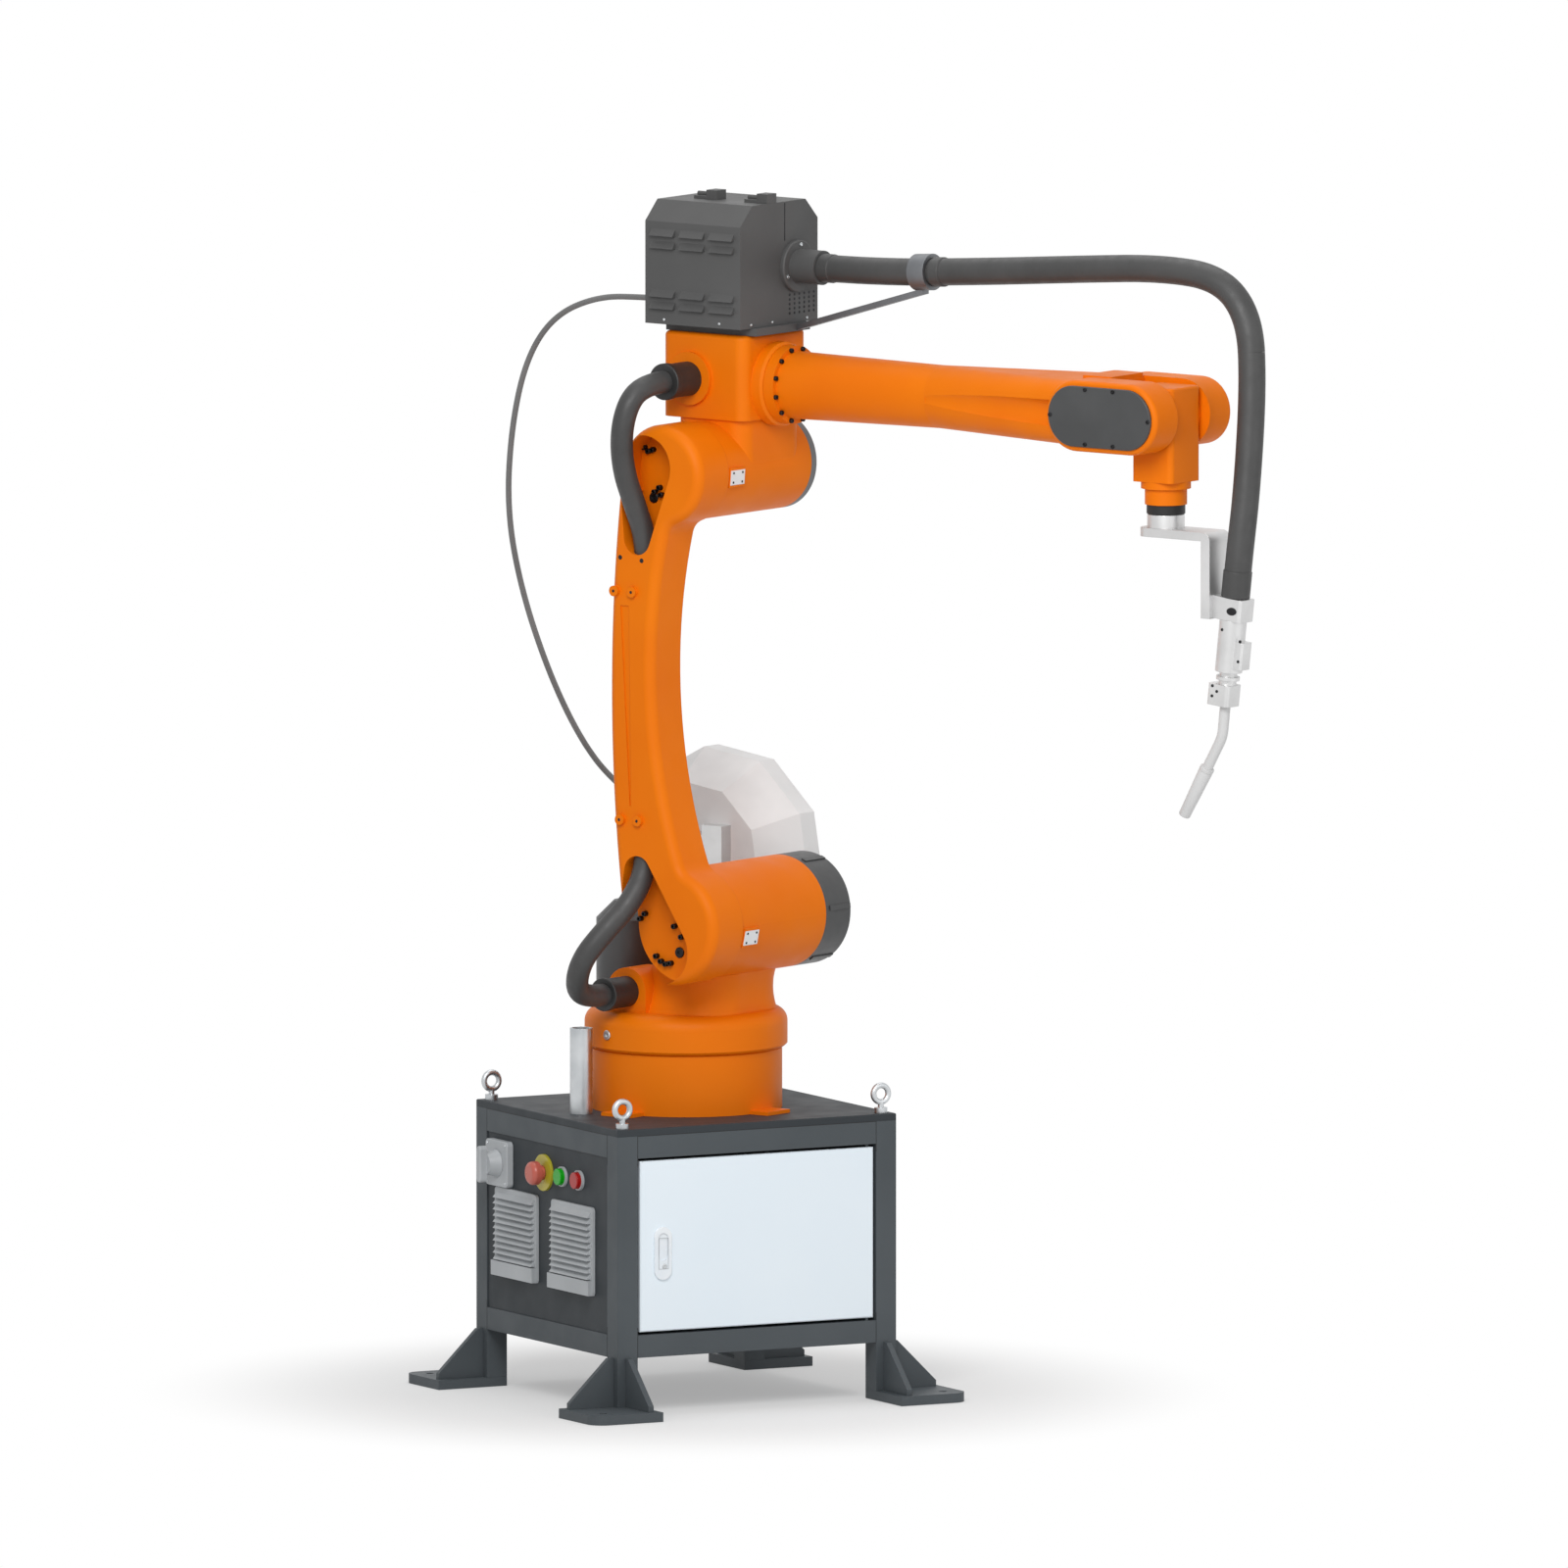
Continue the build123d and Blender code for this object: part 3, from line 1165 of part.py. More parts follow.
with BuildPart() as feeder_box:
    with BuildSketch(Plane.XY.offset(feeder_base_top)):
        with Locations((feeder_middle, 0)):
            Rectangle(FEEDER_LENGTH, FEEDER_WIDTH)
    extrude(amount=FEEDER_HEIGHT)
    top_sides = feeder_box.faces().sort_by(Axis.Z)[-1].edges().filter_by(Axis.X)
    chamfer(top_sides, length=FEEDER_CHAMFER)
    for column in (-1, 0, 1):
        louvre_start = feeder_middle + column * LOUVRE_PITCH - LOUVRE_LENGTH / 2
        with BuildSketch(ahead(louvre_start)):
            for side in (-FEEDER_WIDTH / 2, FEEDER_WIDTH / 2):
                lip = side + math.copysign(LOUVRE_PROUD, side)
                for row in LOUVRE_ROWS:
                    louvre_base = feeder_top - row - LOUVRE_RISE
                    with BuildLine():
                        Polyline(
                            (side, louvre_base),
                            (lip, louvre_base),
                            (side, louvre_base + LOUVRE_RISE),
                            close=True,
                        )
                    make_face()
        extrude(amount=LOUVRE_LENGTH)
save(feeder_box, "feeder_box", arm_place)

latch_front = feeder_front - FEEDER_LATCH_LENGTH / 2
grip_offset = (FEEDER_LATCH_LENGTH - FEEDER_LATCH_GRIP) / 2
with BuildPart() as feeder_latches:
    for latch_forward in (latch_front, latch_front - FEEDER_LATCH_SPACING):
        with BuildSketch(Plane.XY.offset(feeder_top)):
            with Locations((latch_forward, FEEDER_LATCH_SIDE)):
                Rectangle(FEEDER_LATCH_LENGTH, FEEDER_LATCH_WIDTH)
        extrude(amount=FEEDER_LATCH_RISE / 3)
        with BuildSketch(Plane.XY.offset(feeder_top)):
            with Locations((latch_forward + grip_offset, FEEDER_LATCH_SIDE)):
                Rectangle(FEEDER_LATCH_GRIP, FEEDER_LATCH_WIDTH)
        extrude(amount=FEEDER_LATCH_RISE)
        with BuildSketch(ahead(latch_forward - FEEDER_LATCH_LENGTH / 2)):
            with Locations((FEEDER_LATCH_SIDE, feeder_top + FEEDER_LATCH_RISE / 2)):
                Circle(FEEDER_LATCH_RISE / 4)
        extrude(amount=FEEDER_LATCH_LENGTH / 2)
save(feeder_latches, "feeder_latches", arm_place)

with BuildPart() as outlet_flange:
    with BuildSketch(ahead(feeder_front)):
        with Locations(outlet_place):
            Circle(OUTLET_FLANGE_RADIUS)
    extrude(amount=OUTLET_FLANGE_THICK)
    chamfer(outlet_flange.faces().sort_by(Axis.X)[-1].edges(), length=OUTLET_FLANGE_THICK / 4)
    with BuildSketch(ahead(feeder_front)):
        with Locations(outlet_place):
            Circle(OUTLET_SLEEVE_RADIUS)
    extrude(amount=outlet_end - feeder_front)
save(outlet_flange, "outlet_flange", arm_place)

# Torch cable in three lengths: over the forearm, round the wrist and down to the torch
reach_break = halfway(TORCH_CABLE_ROUTE[3], TORCH_CABLE_ROUTE[4])
drop_break = halfway(TORCH_CABLE_ROUTE[6], TORCH_CABLE_ROUTE[7])
cable_lengths = {
    "torch_cable_feed": TORCH_CABLE_ROUTE[:4] + [reach_break],
    "torch_cable_reach": [reach_break] + TORCH_CABLE_ROUTE[4:7] + [drop_break],
    "torch_cable_drop": [drop_break] + TORCH_CABLE_ROUTE[7:],
}
for cable_name, cable_points in cable_lengths.items():
    save(cord_tube(cable_points, TORCH_CABLE_DIAMETER, cable_name), cable_name, arm_place)

conduit_break = halfway(CONDUIT_ROUTE[5], CONDUIT_ROUTE[6])
conduit_lengths = {
    "wire_conduit_upper": CONDUIT_ROUTE[:6] + [conduit_break],
    "wire_conduit_lower": [conduit_break] + CONDUIT_ROUTE[6:],
}
for conduit_name, conduit_points in conduit_lengths.items():
    save(cord_tube(conduit_points, CONDUIT_DIAMETER, conduit_name), conduit_name, arm_place)

save(cord_tube(UPPER_HOSE_ROUTE, HOSE_DIAMETER, "upper_hose"), "upper_hose", arm_place)
save(cord_tube(LOWER_HOSE_ROUTE, HOSE_DIAMETER, "lower_hose"), "lower_hose", arm_place)

# Strut from the feeder's base up to a clamp round the torch cable
clamp_run = Vector(*TORCH_CABLE_ROUTE[2]) - Vector(*TORCH_CABLE_ROUTE[1])
clamp_share = (clamp_forward - TORCH_CABLE_ROUTE[1][0]) / clamp_run.X
clamp_centre = Vector(*TORCH_CABLE_ROUTE[1]) + clamp_run * clamp_share
clamp_radius = TORCH_CABLE_DIAMETER / 2 + CLAMP_CLEARANCE
strut_side = OUTLET_SIDE + STRUT_WIDTH / 2
strut_end_height = clamp_centre.Z - clamp_radius - CLAMP_WALL / 2
strut_foot = head_top + (FEEDER_BASE_THICK - STRUT_THICK) / 2
with BuildPart() as cable_support:
    with BuildSketch(across(strut_side)):
        with BuildLine():
            Polyline(
                (feeder_base_front, strut_foot),
                (clamp_forward, strut_end_height - STRUT_THICK),
                (clamp_forward, strut_end_height),
                (feeder_base_front, strut_foot + STRUT_THICK),
                close=True,
            )
        make_face()
    extrude(amount=STRUT_WIDTH)
    with BuildSketch(Plane(clamp_centre, (0, 1, 0), clamp_run)):
        Circle(clamp_radius + CLAMP_WALL)
    extrude(amount=CLAMP_LENGTH / 2, both=True)
    with BuildSketch(Plane(clamp_centre, (0, 1, 0), clamp_run)):
        Circle(clamp_radius)
    extrude(amount=CLAMP_LENGTH, both=True, mode=Mode.SUBTRACT)
save(cable_support, "cable_support", arm_place)

# Wire spool in its faceted cover, on a post from the turret
spool_band = SPOOL_NEAR + SPOOL_SLOPE
spool_far = spool_band + SPOOL_BAND + SPOOL_BACK_SLOPE
spool_sections = (
    (SPOOL_NEAR, SPOOL_FACE_RADIUS),
    (spool_band, SPOOL_RADIUS),
    (spool_band + SPOOL_BAND, SPOOL_RADIUS),
    (spool_far, SPOOL_BACK_RADIUS),
)
inlet_way = Vector(*CONDUIT_ROUTE[-1]) - Vector(*CONDUIT_ROUTE[-2])
with BuildPart() as spool_cover:
    for section_side, section_radius in spool_sections:
        with BuildSketch(across(section_side)):
            with Locations(spool_place):
                RegularPolygon(section_radius, SPOOL_SIDES, rotation=SPOOL_TURN)
    loft(ruled=True)
    with BuildSketch(Plane(CONDUIT_ROUTE[-1], z_dir=inlet_way)):
        Circle(SPOOL_INLET_RADIUS)
    extrude(amount=SPOOL_INLET_LENGTH)
save(spool_cover, "spool_cover", arm_place)

post_middle = (SPOOL_ARM_BACK + SPOOL_ARM_FRONT) / 2
post_width = SPOOL_ARM_FRONT - SPOOL_ARM_BACK
with BuildPart() as spool_bracket:
    with BuildSketch(Plane.XY.offset(ring_top)):
        with Locations((post_middle, (SPOOL_ARM_START + SPOOL_NEAR) / 2)):
            Rectangle(post_width, SPOOL_NEAR - SPOOL_ARM_START)
    extrude(amount=SPOOL_ARM_RISE)
    with BuildSketch(Plane.XY.offset(ring_top)):
        with Locations((post_middle, SPOOL_NEAR - SPOOL_POST_DEPTH / 2)):
            Rectangle(post_width, SPOOL_POST_DEPTH)
    extrude(amount=SPOOL_POST_RISE)
    with BuildSketch(across(SPOOL_NEAR)):
        with Locations(spool_place):
            Circle(SPOOL_HUB_RADIUS)
        with Locations((post_middle, ring_top + SPOOL_ARM_RISE / 2)):
            Circle(SPOOL_ARM_RISE / 2)
        make_hull()
    extrude(amount=SPOOL_PLATE)
save(spool_bracket, "spool_bracket", arm_place)
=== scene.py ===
# %% [markdown]
# # A welding robot on its cabinet, dressed over a fixed frame
# The machine arrives as finished solids: posts, castings, covers and a torch, each with its own name.
# This lesson never moves them. It paints them, adds the screws and plates that are too small for the
# solids, and replaces the plain cable tubes with smooth ones.

# %% Load the frame
import bpy
import bmesh
import json
import math
from mathutils import Matrix, Vector


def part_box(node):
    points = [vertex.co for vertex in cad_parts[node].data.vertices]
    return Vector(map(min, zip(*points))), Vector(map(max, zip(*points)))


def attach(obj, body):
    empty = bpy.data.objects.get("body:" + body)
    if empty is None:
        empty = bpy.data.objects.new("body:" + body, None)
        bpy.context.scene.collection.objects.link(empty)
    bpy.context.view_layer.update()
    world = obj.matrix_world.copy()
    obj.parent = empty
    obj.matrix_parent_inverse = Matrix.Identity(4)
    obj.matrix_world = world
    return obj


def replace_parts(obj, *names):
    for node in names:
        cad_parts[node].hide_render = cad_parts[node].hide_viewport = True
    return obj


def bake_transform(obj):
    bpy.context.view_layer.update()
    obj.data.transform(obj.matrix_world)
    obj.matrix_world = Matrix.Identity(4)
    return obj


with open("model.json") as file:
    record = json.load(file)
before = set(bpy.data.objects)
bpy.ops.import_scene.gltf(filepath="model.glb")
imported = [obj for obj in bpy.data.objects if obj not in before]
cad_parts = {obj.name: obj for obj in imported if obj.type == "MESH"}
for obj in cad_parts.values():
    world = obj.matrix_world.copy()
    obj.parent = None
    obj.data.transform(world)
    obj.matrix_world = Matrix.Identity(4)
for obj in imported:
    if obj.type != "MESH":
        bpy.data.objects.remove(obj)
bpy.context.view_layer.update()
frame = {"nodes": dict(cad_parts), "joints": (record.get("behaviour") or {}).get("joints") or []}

# %% [markdown]
# ## One set of directions for the whole arm
# The arm is turned away from the cabinet, so world X and Y are awkward for placing things on it.
# The shoulder joint's axis already points sideways across the arm. From it come a forward direction
# and a helper that turns (forward, side, height) into a world point, so every arm piece is placed
# with numbers that make sense along the arm.

# %% Directions along the arm
UP = Vector((0, 0, 1))
joint_by_name = {joint["name"]: joint for joint in frame["joints"]}
SIDE = Vector(joint_by_name["shoulder"]["axis"]).normalized()
FORWARD = SIDE.cross(UP)


def on_arm(forward, side, height):
    """World point from the arm's own forward, side and height, in metres."""
    return FORWARD * forward + SIDE * side + UP * height


def along_arm(point):
    """The arm's forward, side and height of a world point."""
    return Vector((point.dot(FORWARD), point.dot(SIDE), point.z))


def arm_box(node):
    """Lowest and highest corners of a node, measured along the arm instead of along X and Y."""
    places = [along_arm(vertex.co) for vertex in frame["nodes"][node].data.vertices]
    low = Vector(tuple(min(p[i] for p in places) for i in range(3)))
    high = Vector(tuple(max(p[i] for p in places) for i in range(3)))
    return low, high


print("forward", [round(v, 3) for v in FORWARD], "side", [round(v, 3) for v in SIDE])

# %% [markdown]
# ## The camera first
# The picture was taken from far away with a long lens, so parallel edges stay almost parallel.
# A 36 mm sensor with a very long lens does the same. The distance follows from how many metres the
# whole square picture spans, and the camera looks at the point in the picture's middle.

# %% Camera
VIEW_AZIMUTH = math.radians(-28)
VIEW_ELEVATION = math.radians(6.5)
PICTURE_SPAN = 2.64
LENS = 1500
SENSOR = 36
LOOK_RIGHT = 0.165
LOOK_HEIGHT = 1.031

view_right = Vector((math.cos(VIEW_AZIMUTH), math.sin(VIEW_AZIMUTH), 0))
view_back = Vector((
    math.sin(VIEW_AZIMUTH) * math.cos(VIEW_ELEVATION),
    -math.cos(VIEW_AZIMUTH) * math.cos(VIEW_ELEVATION),
    math.sin(VIEW_ELEVATION),
))
look_at = view_right * LOOK_RIGHT + UP * LOOK_HEIGHT
camera_distance = PICTURE_SPAN * LENS / SENSOR

camera_data = bpy.data.cameras.new("camera")
camera_data.sensor_width = SENSOR
camera_data.lens = LENS
camera_data.clip_end = 3 * camera_distance
camera = bpy.data.objects.new("camera", camera_data)
bpy.context.scene.collection.objects.link(camera)
camera.location = look_at + view_back * camera_distance
camera.rotation_euler = view_back.to_track_quat("Z", "Y").to_euler()
bpy.context.scene.camera = camera
print("camera", round(camera_distance, 1), "m away")

# %% [markdown]
# ## A white studio
# The background is plain white, but it must not light the machine like a snow field. The Light Path
# node tells camera, mirror and see-through rays apart from lighting rays. Those three see pure white,
# while the world lights the paint at a gentle level. Three large area lamps add soft direction.

# %% World and lamps
scene = bpy.context.scene
scene.view_settings.view_transform = "Standard"
WORLD_LIGHT = 0.36
WHITE = (1, 1, 1, 1)


def seen_directly(nodes, links):
    """Output that is 1 for camera, glossy and transmission rays, and 0 for lighting rays."""
    path = nodes.new("ShaderNodeLightPath")
    glossy_or_camera = nodes.new("ShaderNodeMath")
    glossy_or_camera.operation = "MAXIMUM"
    links.new(path.outputs["Is Camera Ray"], glossy_or_camera.inputs[0])
    links.new(path.outputs["Is Glossy Ray"], glossy_or_camera.inputs[1])
    any_of_them = nodes.new("ShaderNodeMath")
    any_of_them.operation = "MAXIMUM"
    links.new(glossy_or_camera.outputs[0], any_of_them.inputs[0])
    links.new(path.outputs["Is Transmission Ray"], any_of_them.inputs[1])
    return any_of_them.outputs[0]


world = bpy.data.worlds.new("white_studio")
scene.world = world
world.use_nodes = True
world_nodes, world_links = world.node_tree.nodes, world.node_tree.links
world_nodes.clear()
room_light = world_nodes.new("ShaderNodeBackground")
room_light.inputs["Color"].default_value = WHITE
room_light.inputs["Strength"].default_value = WORLD_LIGHT
room_white = world_nodes.new("ShaderNodeBackground")
room_white.inputs["Color"].default_value = WHITE
room_white.inputs["Strength"].default_value = 1.0
room_mix = world_nodes.new("ShaderNodeMixShader")
room_out = world_nodes.new("ShaderNodeOutputWorld")
world_links.new(seen_directly(world_nodes, world_links), room_mix.inputs["Fac"])
world_links.new(room_light.outputs[0], room_mix.inputs[1])
world_links.new(room_white.outputs[0], room_mix.inputs[2])
world_links.new(room_mix.outputs[0], room_out.inputs["Surface"])


def softbox(name, right, back, height, size, power):
    """Square area lamp placed by the camera's right, its distance towards the camera and its height."""
    toward_camera = Vector((view_back.x, view_back.y, 0)).normalized()
    lamp_data = bpy.data.lights.new(name, "AREA")
    lamp_data.size = size
    lamp_data.energy = power
    lamp = bpy.data.objects.new(name, lamp_data)
    scene.collection.objects.link(lamp)
    lamp.location = view_right * right + toward_camera * back + UP * height
    aim = lamp.location - look_at
    lamp.rotation_euler = aim.to_track_quat("Z", "Y").to_euler()


softbox("key_lamp", right=-0.4, back=4.5, height=3.9, size=2.4, power=150)
softbox("fill_lamp", right=3.2, back=2.6, height=1.8, size=2.4, power=16)
softbox("top_lamp", right=0.3, back=-0.6, height=4.6, size=2.6, power=38)

# %% [markdown]
# ## The floor
# The floor is a pale disc. Close to the feet it is a plain matte surface, so it shows their shadow.
# Further out it fades into the same white as the background, so no horizon or rim shows. The fade
# uses the distance from the disc's middle, which is the same from every side.

# %% Floor
FLOOR_RADIUS = 6.0
FLOOR_FADE_START = 0.45
FLOOR_FADE_END = 0.95
FLOOR_DROP = 0.0005
FLOOR_SIDES = 96
FLOOR_GREY = 0.86
WHITE_AT_THE_FEET = 0.35

floor_mesh = bpy.data.meshes.new("studio_floor")
floor_bm = bmesh.new()
bmesh.ops.create_circle(floor_bm, cap_ends=True, segments=FLOOR_SIDES, radius=FLOOR_RADIUS)
floor_bm.to_mesh(floor_mesh)
floor_bm.free()
floor = bpy.data.objects.new("studio_floor", floor_mesh)
scene.collection.objects.link(floor)
floor.location.z = -FLOOR_DROP

floor_paint = bpy.data.materials.new("studio_floor")
floor_paint.use_nodes = True
floor_nodes, floor_links = floor_paint.node_tree.nodes, floor_paint.node_tree.links
floor_nodes.clear()
floor_place = floor_nodes.new("ShaderNodeTexCoord")
floor_length = floor_nodes.new("ShaderNodeVectorMath")
floor_length.operation = "LENGTH"
floor_fade = floor_nodes.new("ShaderNodeMapRange")
floor_fade.interpolation_type = "SMOOTHSTEP"
floor_fade.inputs["From Min"].default_value = FLOOR_FADE_START
floor_fade.inputs["From Max"].default_value = FLOOR_FADE_END
floor_fade.inputs["To Min"].default_value = WHITE_AT_THE_FEET
floor_fade.inputs["To Max"].default_value = 1.0
floor_gate = floor_nodes.new("ShaderNodeMath")
floor_gate.operation = "MULTIPLY"
floor_matte = floor_nodes.new("ShaderNodeBsdfDiffuse")
floor_matte.inputs["Color"].default_value = (FLOOR_GREY, FLOOR_GREY, FLOOR_GREY, 1)
floor_white = floor_nodes.new("ShaderNodeEmission")
floor_white.inputs["Color"].default_value = WHITE
floor_white.inputs["Strength"].default_value = 1.0
floor_mix = floor_nodes.new("ShaderNodeMixShader")
floor_out = floor_nodes.new("ShaderNodeOutputMaterial")
floor_links.new(floor_place.outputs["Object"], floor_length.inputs[0])
floor_links.new(floor_length.outputs["Value"], floor_fade.inputs["Value"])
floor_links.new(floor_fade.outputs["Result"], floor_gate.inputs[0])
floor_links.new(seen_directly(floor_nodes, floor_links), floor_gate.inputs[1])
floor_links.new(floor_gate.outputs[0], floor_mix.inputs["Fac"])
floor_links.new(floor_matte.outputs[0], floor_mix.inputs[1])
floor_links.new(floor_white.outputs[0], floor_mix.inputs[2])
floor_links.new(floor_mix.outputs[0], floor_out.inputs["Surface"])
floor_mesh.materials.append(floor_paint)
print("floor disc", FLOOR_RADIUS, "m")

# %% [markdown]
# ## Cables that look soft
# Three thick runs of torch cable, a thin wire conduit and two hoses join pieces that move against each
# other. Each route is a short list of given points. A NURBS spline drawn through the space they
# frame gives one smooth line, and a round tube mesh is swept along that line.

# %% Tubes along a route
MM = 0.001
TUBE_SIDES = 32
ROUTE_STEPS = 14


def smooth_line(points):
    """Points read from a NURBS spline that has the route's points, in arm millimetres, as its controls."""
    curve = bpy.data.curves.new("route", "CURVE")
    curve.dimensions = "3D"
    curve.resolution_u = ROUTE_STEPS
    spline = curve.splines.new("NURBS")
    spline.points.add(len(points) - 1)
    for control, point in zip(spline.points, points):
        control.co = (*(on_arm(*point) * MM), 1)
    spline.order_u = 3
    spline.use_endpoint_u = True
    carrier = bpy.data.objects.new("route", curve)
    line_mesh = bpy.data.meshes.new_from_object(carrier)
    line = [vertex.co.copy() for vertex in line_mesh.vertices]
    bpy.data.objects.remove(carrier)
    bpy.data.meshes.remove(line_mesh)
    bpy.data.curves.remove(curve)
    return line


def line_length(line):
    """Length of a line of points, in metres."""
    return sum((b - a).length for a, b in zip(line, line[1:]))


def tube_along(name, line, radius):
    """Round mesh along a line, open at its ends. Each ring is carried on from the last without twisting."""
    bm = bmesh.new()
    rings = []
    angles = [2 * math.pi * side / TUBE_SIDES for side in range(TUBE_SIDES)]
    tangent = (line[1] - line[0]).normalized()
    across = tangent.orthogonal().normalized()
    for index, point in enumerate(line):
        ahead = line[min(index + 1, len(line) - 1)]
        behind = line[max(index - 1, 0)]
        turned = (ahead - behind).normalized()
        across = tangent.rotation_difference(turned) @ across
        tangent = turned
        up = tangent.cross(across)
        rings.append([
            bm.verts.new(point + (across * math.cos(a) + up * math.sin(a)) * radius) for a in angles
        ])
    for ring, following in zip(rings, rings[1:]):
        for side in range(TUBE_SIDES):
            after = (side + 1) % TUBE_SIDES
            bm.faces.new((ring[side], ring[after], following[after], following[side])).smooth = True
    mesh = bpy.data.meshes.new(name)
    bm.to_mesh(mesh)
    bm.free()
    tube = bpy.data.objects.new(name, mesh)
    scene.collection.objects.link(tube)
    return tube


print("tubes have", TUBE_SIDES, "sides")

# %% [markdown]
# ## Where each cable goes
# The torch cable leaves the feeder, runs through its clamp above the forearm, arches over the wrist and
# drops into the torch. It is three pieces, because it crosses three joints, and each piece runs between
# the two bodies at its ends. The wire conduit hangs in one arc from the feeder to the spool, and
# each hose loops from its gland into the lower arm's scoop.

# %% Cable routes
TORCH_CABLE = 46
CONDUIT = 10
HOSE = 38
TORCH_CABLE_ROUTE = [
    (254, 47, 1917), (375, 47, 1917), (600, 47, 1933), (790, 47, 1949), (960, 47, 1962), (1086, 47, 1953),
    (1148, 45, 1890), (1160, 38, 1775), (1164, 16, 1606), (1160, 0, 1494), (1152, 0, 1424.3),
]
CONDUIT_ROUTE = [
    (-4, 0, 1850), (-90, 0, 1850), (-190, 5, 1844), (-285, 10, 1806), (-350, 18, 1730), (-390, 28, 1610),
    (-412, 44, 1464), (-416, 90, 1322), (-402, 150, 1175), (-378, 205, 1062), (-350, 255, 990),
    (-322, 300, 950),
]
UPPER_HOSE_ROUTE = [
    (78, -166, 1731), (78, -204, 1731), (66, -240, 1712), (54, -252, 1658), (48, -240, 1590),
    (50, -208, 1524), (56, -186, 1468), (56, -186, 1430),
]
LOWER_HOSE_ROUTE = [
    (-32, -190, 689), (-32, -236, 689), (-25, -276, 711), (-2, -288, 760), (26, -264, 806),
    (50, -222, 852), (56, -186, 905), (56, -186, 945),
]


def halfway(start, end):
    """The route point midway between two others, where a cable is parted."""
    return tuple((a + b) / 2 for a, b in zip(start, end))


def blended_cable(node, points, diameter):
    """Tube in place of a cable node, swept along a smooth line through the route points."""
    line = smooth_line(points)
    tube = tube_along(node + "_soft", line, diameter * MM / 2)
    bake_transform(tube)
    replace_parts(tube, node)
    print(node, round(line_length(line), 3), "m")
    return tube


reach_break = halfway(TORCH_CABLE_ROUTE[3], TORCH_CABLE_ROUTE[4])
drop_break = halfway(TORCH_CABLE_ROUTE[6], TORCH_CABLE_ROUTE[7])
conduit_break = halfway(CONDUIT_ROUTE[5], CONDUIT_ROUTE[6])
print("cables part at", reach_break, drop_break, conduit_break)

# %% [markdown]
# ## The pieces of each cable
# The two ends of a cable belong to different bodies, so each route is parted at the points found above.
# Each piece becomes a tube that takes the place of its cable node, and the node itself is hidden.

# %% Cables in place
torch_cables = [
    blended_cable("torch_cable_feed", TORCH_CABLE_ROUTE[:4] + [reach_break], TORCH_CABLE),
    blended_cable("torch_cable_reach", [reach_break] + TORCH_CABLE_ROUTE[4:7] + [drop_break], TORCH_CABLE),
    blended_cable("torch_cable_drop", [drop_break] + TORCH_CABLE_ROUTE[7:], TORCH_CABLE),
]
conduits = [
    blended_cable("wire_conduit_upper", CONDUIT_ROUTE[:6] + [conduit_break], CONDUIT),
    blended_cable("wire_conduit_lower", [conduit_break] + CONDUIT_ROUTE[6:], CONDUIT),
]
hoses = [
    blended_cable("upper_hose", UPPER_HOSE_ROUTE, HOSE),
    blended_cable("lower_hose", LOWER_HOSE_ROUTE, HOSE),
]
print(len(torch_cables + conduits + hoses), "cable pieces")

# %% [markdown]
# ## Finishes made of noise
# Every paint, plastic and metal here is built from the same three moves. A soft noise shifts the
# colour, a second one shifts the gloss, and a fine one lifts the surface. The Bevel node rounds the
# normals near sharp edges, so that an edge catches the light as a painted edge does.

# %% Finish helpers
EDGE_ROUND = 0.0012
EDGE_SAMPLES = 4
COAT_ROUGHNESS = 0.2
COLOUR_NOISE = (0.35, 0.65)
GLOSS_NOISE = (0.3, 0.7)


def linear(written):
    """Linear colour from a written sRGB colour such as "#e8f2fb"."""
    channels = [int(written[i:i + 2], 16) / 255 for i in (1, 3, 5)]
    return tuple(c / 12.92 if c <= 0.04045 else ((c + 0.055) / 1.055) ** 2.4 for c in channels) + (1,)


def new_finish(name, metallic=0.0, coat=0.0, shine=0.5):
    """Material whose even values sit on the shader's own sockets."""
    material = bpy.data.materials.new(name)
    material.use_nodes = True
    shader = material.node_tree.nodes["Principled BSDF"]
    shader.inputs["Metallic"].default_value = metallic
    shader.inputs["Specular IOR Level"].default_value = shine
    shader.inputs["Coat Weight"].default_value = coat
    shader.inputs["Coat Roughness"].default_value = COAT_ROUGHNESS
    return material


def noise_in(material, scale, detail=3.0, stretch=(1, 1, 1)):
    """Noise over the piece in its own metres. A stretch pulls the grain out along an axis."""
    tree = material.node_tree
    place = tree.nodes.new("ShaderNodeTexCoord")
    mapping = tree.nodes.new("ShaderNodeMapping")
    mapping.inputs["Scale"].default_value = stretch
    noise = tree.nodes.new("ShaderNodeTexNoise")
    noise.inputs["Scale"].default_value = scale
    noise.inputs["Detail"].default_value = detail
    tree.links.new(place.outputs["Object"], mapping.inputs["Vector"])
    tree.links.new(mapping.outputs["Vector"], noise.inputs["Vector"])
    return noise.outputs["Fac"]


def vary_colour(material, amount, dark, light):
    """Colour that drifts from dark to light as the amount grows."""
    tree = material.node_tree
    ramp = tree.nodes.new("ShaderNodeValToRGB")
    for stop, position, written in zip(ramp.color_ramp.elements, COLOUR_NOISE, (dark, light)):
        stop.position = position
        stop.color = linear(written)
    tree.links.new(amount, ramp.inputs["Fac"])
    tree.links.new(ramp.outputs["Color"], tree.nodes["Principled BSDF"].inputs["Base Color"])


